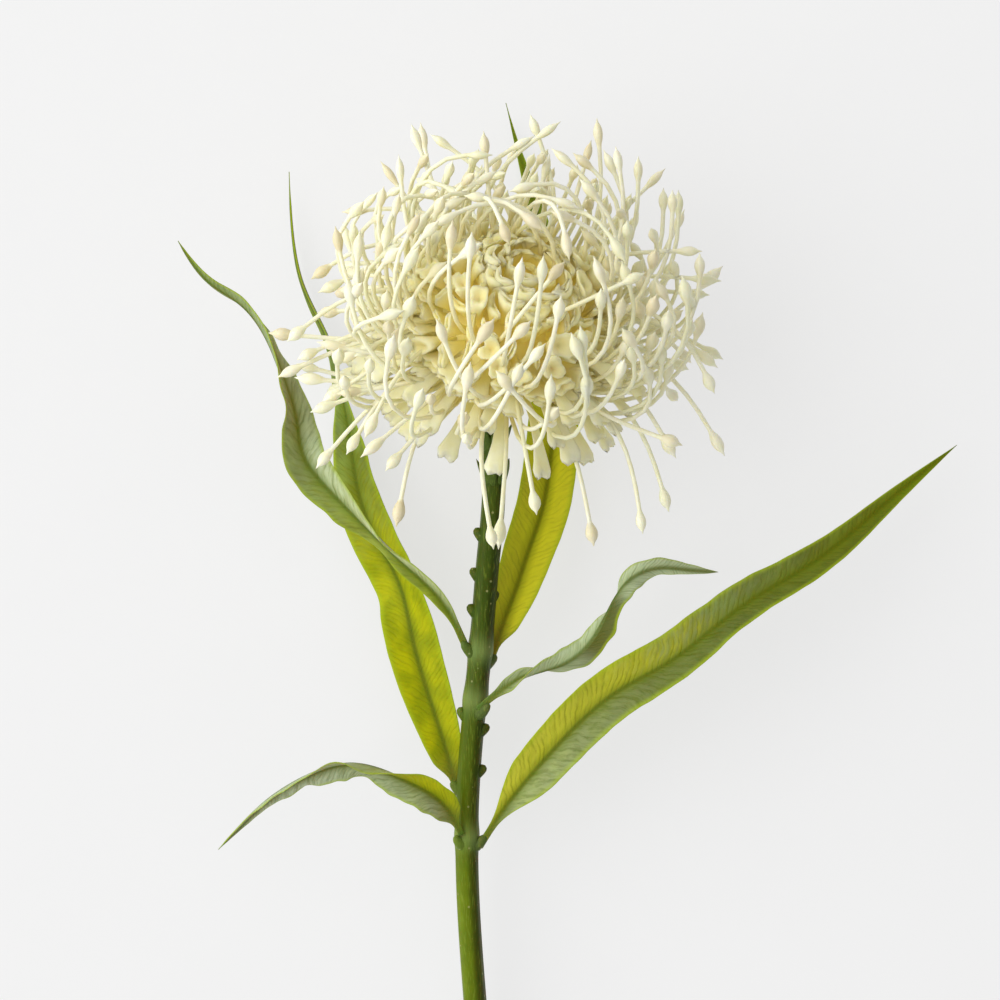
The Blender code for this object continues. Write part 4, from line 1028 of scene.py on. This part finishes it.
# One style: its root, its thread, and how its curve turns back as it leaves the core. The turn
# fades below a height over the table.
STYLE_ROOT = 12.0
STYLE_RADIUS = 0.6
STYLE_SIDES = 7
STYLE_HANDLES = (0.46, 0.44)
TURN_BACK_SHARE = 0.6
TURN_BACK_LIMIT = 55
TURN_BACK_HEIGHT = 30.0
THREAD_SHARES = np.array((0, 0.2, 0.34, 0.47, 0.59, 0.7, 0.8, 0.9, 1.0))

# Its pollen presenter: shares of its length and of its radius, how much both vary, and how much
# slimmer it gets between two distances from the bloom's centre along Y.
BULB_RADIUS = 1.6
BULB_LENGTH = 7.2
BULB_SHARES = np.array((0.12, 0.27, 0.43, 0.58, 0.72, 0.85, 1.0))
BULB_PROFILE = np.array((0.56, 0.84, 1.0, 0.96, 0.7, 0.27, 0.03))
BULB_SPREAD = (0.16, 0.12)
BACK_START = (15.0, 45.0)
BACK_SLIMMING = 0.24

# The spiral: how many styles between which polar angles, how far they reach from crown to skirt,
# how they curl inwards, and outwards from where the skirt starts, and how much all that varies.
SPIRAL_COUNT = 216
SPIRAL_POLAR = (32.0, 134.0)
POLAR_SPREAD = 3
TURN_SPREAD = 0.1
CROWN_REACH = 43.0
SKIRT_REACH = 51.0
REACH_RISE = (32.0, 82.0)
REACH_SPREAD = (2.0, 9.0)
INWARD_CURLS = ((32, 60), (60, 80), (88, 80))
OUTWARD_CURL = 28
SKIRT_START = (88, 12)
CURL_SPREAD = 0.4
SWIRL = 0.8
FULL_SWIRL_CURL = 60

# A second spiral inside the first, with shorter styles and its own draws.
INNER_COUNT = 120
INNER_START = 1000
INNER_SHARE = 0.84

# Where the spirals keep clear: outside the outline, in the face, in the skirt by the stem, and
# near the leaves, whose blades are read at steps along and shares across.
OUTLINE_RADIUS = 51.0
FACE_RADIUS = 22.0
SKIRT_RADIUS = 30.0
SKIRT_WIDTH = 140
LEAF_CLEARANCE = 3.2
CLEARANCE_STEPS = 40
CLEARANCE_SHARES = (-1, -0.5, 0, 0.5, 1)

# Styles that lie on the table, and those that come near it and bend along it.
REST_HEIGHT = 1.6
RESTING_BAND = 3.0
LOW_BAND = 7.0
LOW_DROP = 2.0
LOW_STRETCH = 1.4

# How much a placed style slopes with its height.
STYLE_SPAN = 60.0
SLOPE_SHARE = 0.3

# Colour of a style, and the coats over it as for the bark.
STYLE_COLOUR = (247, 244, 220)
STYLE_COATS = {"cloud": (0.6, 238, 232, 190), "inner": (0.75, 242, 222, 128),
               "greenish": (0.3, 224, 228, 182), "ripe": (0.6, 208, 190, 144)}
STYLE_CLOUD_SIZE = 4.0

# Each placed style: its neck right of and above the bloom's centre, the way its tip points in
# degrees from +X, and its height over the centre.
PLACED_STYLES = (
    (-27, -43, -100, 10), (-27, -31, -130, 14), (-45, -30, -130, 8), (-38, -26, -120, 12),
    (-33, -21, -115, 25), (-42, -14, -145, 5), (-53, -8, -155, 1), (-49, -9, 165, -4),
    (-49, -4, -155, 3), (-55, 0, 175, -1), (-52, 2, -140, 8), (-39, 6, 100, 30),
    (-43, 15, -155, -14), (-46, 19, -145, -10), (-43, 21, 100, 8), (-38, 18, 85, 22),
    (-41, 23, 105, -10), (-36, 34, -175, -15), (-28, 39, 125, 0), (-27, 39, 95, 10),
    (-22, 48, 110, 5), (-21, 49, 100, -5), (-14, 50, 145, -15), (-5, 46, 95, 8),
    (-10, 46, 0, 15), (1, 48, 30, 5), (9, 52, 110, -5), (8, 51, 35, 5),
    (10, 41, 75, -4), (23, 43, 140, 5), (18, 43, 140, 12), (21, 45, 75, -5),
    (25, 50, 95, -8), (29, 42, 115, 0), (30, 42, 100, 8), (35, 40, 90, 0),
    (37, 39, 45, -8), (42, 33, 90, -10), (44, 32, 90, 0), (46, 32, 90, -10),
    (45, 28, 65, -15), (45, 22, 0, 0), (51, 15, 90, 3),
    (52, 13, 45, -12), (49, 15, -5, -2), (48, 12, -5, -18), (47, 7, 100, 20),
    (50, -1, 75, 2), (52, -3, -30, -5), (50, -4, -40, 4), (52, -10, -65, 8),
    (54, -25, -60, -3), (41, -26, -60, 5), (40, -27, -20, 15), (41, -40, -74, 5),
    (35, -46, -82, 10), (22, -49, -80, 10), (7, -41, -80, 26), (-4, -50, -80, 20),
    (-1, -48, -95, 14), (9, 11, 85, 48), (3, 10, 80, 50), (11, 12, 50, 42),
    (-7, -4, 55, 48), (2, -3, 45, 50), (2, -14, 65, 48), (6, -9, 50, 50),
    (13, 2, 80, 48), (19, -8, 110, 45), (20, -6, 100, 44), (11, -19, 85, 44),
    (2, -16, 130, 47), (-10, -16, 80, 45), (-15, -4, 110, 42), (-9, 17, 85, 45),
    (-14, 20, 85, 36), (25, 11, 110, 40), (30, 12, 25, 30), (-12, 30, -150, 32),
    (-4, 34, 175, 27), (4, 30, -40, 33), (12, 34, -20, 25), (-20, 30, -120, 26),
    (18, 28, 160, 30), (8, 38, -165, 20), (-1, 27, -70, 37), (-8, 38, 30, 20),
    (24, 34, 130, 18), (15, 25, -80, 36), (-16, 38, -30, 16), (-25, 24, 60, 30),
    (-30, 28, -100, 20), (27, 24, -60, 28), (-47, -12, 175, 4), (-44, -18, -160, 8),
    (-37, -15, -172, 17), (-41, -4, 168, 14), (-31, -27, -140, 18),
    (27, 4, 10, -48.2), (30, -11, -25, -47.6), (29, 16, 60, -48.2),
    (-13, 6, 150, -48.2), (-9, -8, 215, -48.2), (-19, 15, 120, -48.2),
)


def placed_ends():
    """Necks and bulb directions of the placed styles, relative to the bloom's centre."""
    right, up, bearing, lift = np.array(PLACED_STYLES, float).T
    resting = lift < REST_HEIGHT - HEAD_CENTRE[2] + RESTING_BAND
    slope = SLOPE_SHARE * np.arcsin(lift / STYLE_SPAN) * ~resting
    bearing = np.radians(bearing)
    level = np.stack((np.cos(bearing), np.sin(bearing), 0 * bearing), -1)
    aims = np.cos(slope)[:, None] * level + np.outer(np.sin(slope), (0, 0, 1))
    return np.stack((right, up, lift), -1), aims


def spread_ends(count, first, share):
    """Necks and bulb directions of the styles on an even spiral over the bloom.

    Those round the crown curl in towards the axis, and those of the skirt curl out. One that
    would pass through the table is bent along it. First is the number that the draws start from,
    and share scales how far the styles reach.
    """
    index = np.arange(count)
    draw = index + first
    polar = even_polar(index, count, SPIRAL_POLAR)
    polar += math.radians(POLAR_SPREAD) * scatter(draw, 1)
    turn = index * GOLDEN_ANGLE + first + TURN_SPREAD * scatter(draw, 2)
    degrees = np.degrees(polar)
    outward = degrees > SKIRT_START[0] + SKIRT_START[1] * scatter(draw, 4)
    curl = np.where(outward, OUTWARD_CURL, -np.interp(degrees, *zip(*INWARD_CURLS)))
    curl = curl * (1 + CURL_SPREAD * scatter(draw, 3))
    swirl = SWIRL * np.minimum(1, np.abs(curl) / FULL_SWIRL_CURL) * scatter(draw, 5)
    aims = heading(polar + np.radians(curl), turn + swirl)
    reach = np.interp(degrees, REACH_RISE, (CROWN_REACH, SKIRT_REACH))
    reach += REACH_SPREAD[0] * scatter(draw, 6)
    reach -= REACH_SPREAD[1] * np.clip(scatter(draw, 14), 0, 1)
    necks = share * reach[:, None] * heading(polar, turn)
    lowest = REST_HEIGHT - HEAD_CENTRE[2]
    low = necks[:, 2] < lowest + LOW_BAND
    necks[low, 2] = np.maximum(necks[low, 2] - LOW_DROP, lowest)
    aims[low] = unit(aims[low] * (1, LOW_STRETCH, 0) + (0.02, 0, 0))
    return necks, aims


def style_paths(necks, aims, lengths):
    """Centre lines: a cubic curve from the core to each neck, then a straight run along the bulb.

    It leaves the core along the line to the neck, turned back by a share of the bulb's own turn,
    which fades towards the table.
    """
    chord = unit(necks)
    across = aims - chord * np.sum(aims * chord, axis=1, keepdims=True)
    turned = np.arccos(np.clip(np.sum(aims * chord, axis=1), -1, 1))
    back = np.minimum(turned * TURN_BACK_SHARE, math.radians(TURN_BACK_LIMIT))
    back = (back * np.clip((necks[:, 2] + HEAD_CENTRE[2]) / TURN_BACK_HEIGHT, 0, 1))[:, None]
    start = np.cos(back) * chord - np.sin(back) * unit(across + 1e-9)
    root = STYLE_ROOT * start
    length = np.linalg.norm(necks - root, axis=1, keepdims=True)
    first = root + start * length * STYLE_HANDLES[0]
    second = necks - aims * length * STYLE_HANDLES[1]
    t = THREAD_SHARES[None, :, None]
    curve = ((1 - t) ** 3 * root[:, None] + 3 * (1 - t) ** 2 * t * first[:, None]
             + 3 * (1 - t) * t ** 2 * second[:, None] + t ** 3 * necks[:, None])
    bulb = necks[:, None] + aims[:, None] * (BULB_SHARES[None] * lengths)[..., None]
    return HEAD_CENTRE + np.concatenate((curve, bulb), axis=1), np.cross(chord, unit(across + 1e-9))


def clear_of_leaves(paths):
    """Which styles pass no leaf closer than the clearance."""
    blades = []
    for leaf in LEAVES.values():
        spine, side, _, width, _ = blade_frame(leaf, CLEARANCE_STEPS)
        blades += [spine + side * (x * width)[:, None] for x in CLEARANCE_SHARES]
    blades = np.concatenate(blades)
    gaps = [np.linalg.norm(path[2:, None] - blades[None], axis=2).min() for path in paths]
    return np.array(gaps) > LEAF_CLEARANCE


def style_surfaces():
    """Tubes round the centre lines: an even thread, then the bulb's profile, drawn to a point."""
    placed = placed_ends()
    outer = spread_ends(SPIRAL_COUNT, 0, 1.0)
    inner = spread_ends(INNER_COUNT, INNER_START, INNER_SHARE)
    necks, aims = (np.concatenate(rows) for rows in zip(placed, outer, inner))
    index = np.arange(len(necks))
    long = 1 + BULB_SPREAD[0] * scatter(index, 15)[:, None]
    stout = 1 + BULB_SPREAD[1] * scatter(index, 18)[:, None]
    paths, normals = style_paths(necks, aims, BULB_LENGTH * long)
    across, up, lift = (paths[:, -1] - HEAD_CENTRE).T
    out = np.hypot(across, up)
    from_stem = np.abs(np.degrees(np.arctan2(across, -up)))
    in_skirt = (out > SKIRT_RADIUS) & (from_stem < SKIRT_WIDTH / 2)
    keep = (out < OUTLINE_RADIUS) & ((out > FACE_RADIUS) | (lift < 0)) & ~in_skirt
    keep &= clear_of_leaves(paths)
    keep[:len(PLACED_STYLES)] = True
    paths, normals, stout, index = paths[keep], normals[keep], stout[keep], index[keep]
    bulb_start = len(THREAD_SHARES)
    thread = np.full((len(paths), bulb_start), STYLE_RADIUS)
    slim = 1 - BACK_SLIMMING * rise_share(paths[:, -1:, 1] - HEAD_CENTRE[1], *BACK_START)
    bulb = BULB_RADIUS * BULB_PROFILE * stout * slim
    radii = np.concatenate((thread, bulb), axis=1)
    points = sweep(paths, normals[:, None], radii[..., None], STYLE_SIDES)
    points[..., 2] = np.maximum(points[..., 2], 0)
    on_bulb = (np.arange(paths.shape[1]) >= bulb_start)[None, :, None]
    tone = 0.5 + 0.5 * scatter(index, 16)[:, None, None]
    return points, spread_marks({"bulb": on_bulb, "tone": tone}, points)


def style_material():
    """Ivory wax: golden where a thread leaves the core, a little green along some threads, and
    light brown on the ripest pollen presenters."""
    material, tree = new_material("style_ivory")
    depth, _ = head_depth(tree)
    tone = mark(tree, "tone")
    base = mottle(tree, paint(*STYLE_COLOUR), STYLE_COATS["cloud"], STYLE_CLOUD_SIZE)
    base = coat(tree, base, STYLE_COATS,
                inner=rise(tree, depth, 42.0, 18.0),
                greenish=rise(tree, tone, 0.5, 0.1),
                ripe=times(tree, rise(tree, tone, 0.55, 1.0), mark(tree, "bulb")))
    shader = finish_surface(tree, base, grain_mm=0.5, roughness=0.4, relief=0.25, relief_mm=0.12,
                            specular=0.4, subsurface=0.35)
    shader["Subsurface Radius"].default_value = (1.0, 0.85, 0.55)
    shader["Subsurface Scale"].default_value = 1.5 * MM
    return material


def build_styles():
    """All the styles of the bloom as one piece."""
    points, marks = style_surfaces()
    piece = make_piece("styles", [(points, tube_faces(*points.shape[:3]))], marks)
    piece.data.materials.append(style_material())
    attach(piece, "root")
    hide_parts("bloom")


build_styles()


# Table and studio: a softly lit white acrylic top under the flower, a wide soft light from the left
# and above, and a white surround that is brighter on the left than on the right. Sizes and places
# in the studio are in metres, apart from the table's clouds.
TABLE_SIZE = 6.0
TABLE_GLOW = 0.64
TABLE_COLOUR = (133, 133, 133)
TABLE_CLOUD = (0.5, 131, 131, 131)
TABLE_CLOUD_SIZE = 40.0
KEY_PLACE = (-1.5, 0.4, 1.35)
KEY_AIM = (-0.02, 0.06, 0.03)
KEY_SIZE = 2.6
KEY_WATTS = 36.0
SURROUND = (0.9, 0.33)


def build_table():
    """A flat square of matt white acrylic, lit a little from below, with a hint of texture."""
    half = TABLE_SIZE / 2 / MM
    corners = np.array(((-half, -half, 0), (half, -half, 0), (half, half, 0), (-half, half, 0)))
    table = make_piece("table", [(corners, [(0, 1, 2, 3)])])
    material, tree = new_material("white_acrylic")
    base = mottle(tree, paint(*TABLE_COLOUR), TABLE_CLOUD, TABLE_CLOUD_SIZE)
    shader = finish_surface(tree, base, grain_mm=1.0, roughness=0.8, relief=0.05, relief_mm=0.05,
                            specular=0.2)
    shader["Emission Color"].default_value = (1, 1, 1, 1)
    shader["Emission Strength"].default_value = TABLE_GLOW
    table.data.materials.append(material)


def build_light():
    """One large soft panel that points at the flower, and a white surround that fades from left
    to right."""
    panel = bpy.data.lights.new("key", "AREA")
    panel.shape = "DISK"
    panel.size = KEY_SIZE
    panel.energy = KEY_WATTS
    key = bpy.data.objects.new("key", panel)
    key.location = KEY_PLACE
    toward = np.subtract(KEY_AIM, KEY_PLACE)
    azimuth = math.atan2(toward[1], toward[0])
    tilt = math.acos(-toward[2] / np.linalg.norm(toward))
    key.rotation_euler = (0, -tilt, azimuth)
    bpy.context.scene.collection.objects.link(key)
    world = bpy.data.worlds.new("surround")
    world.use_nodes = True
    tree = world.node_tree
    sideways = put(tree, "SeparateXYZ", {0: put(tree, "TexCoord").outputs["Generated"]}).outputs["X"]
    share = times_plus(tree, sideways, 0.5, 0.5)
    strength = times_plus(tree, share, SURROUND[1] - SURROUND[0], SURROUND[0])
    background = tree.nodes["Background"]
    background.inputs["Color"].default_value = (1, 1, 1, 1)
    tree.links.new(strength, background.inputs["Strength"])
    bpy.context.scene.world = world


build_table()
build_light()
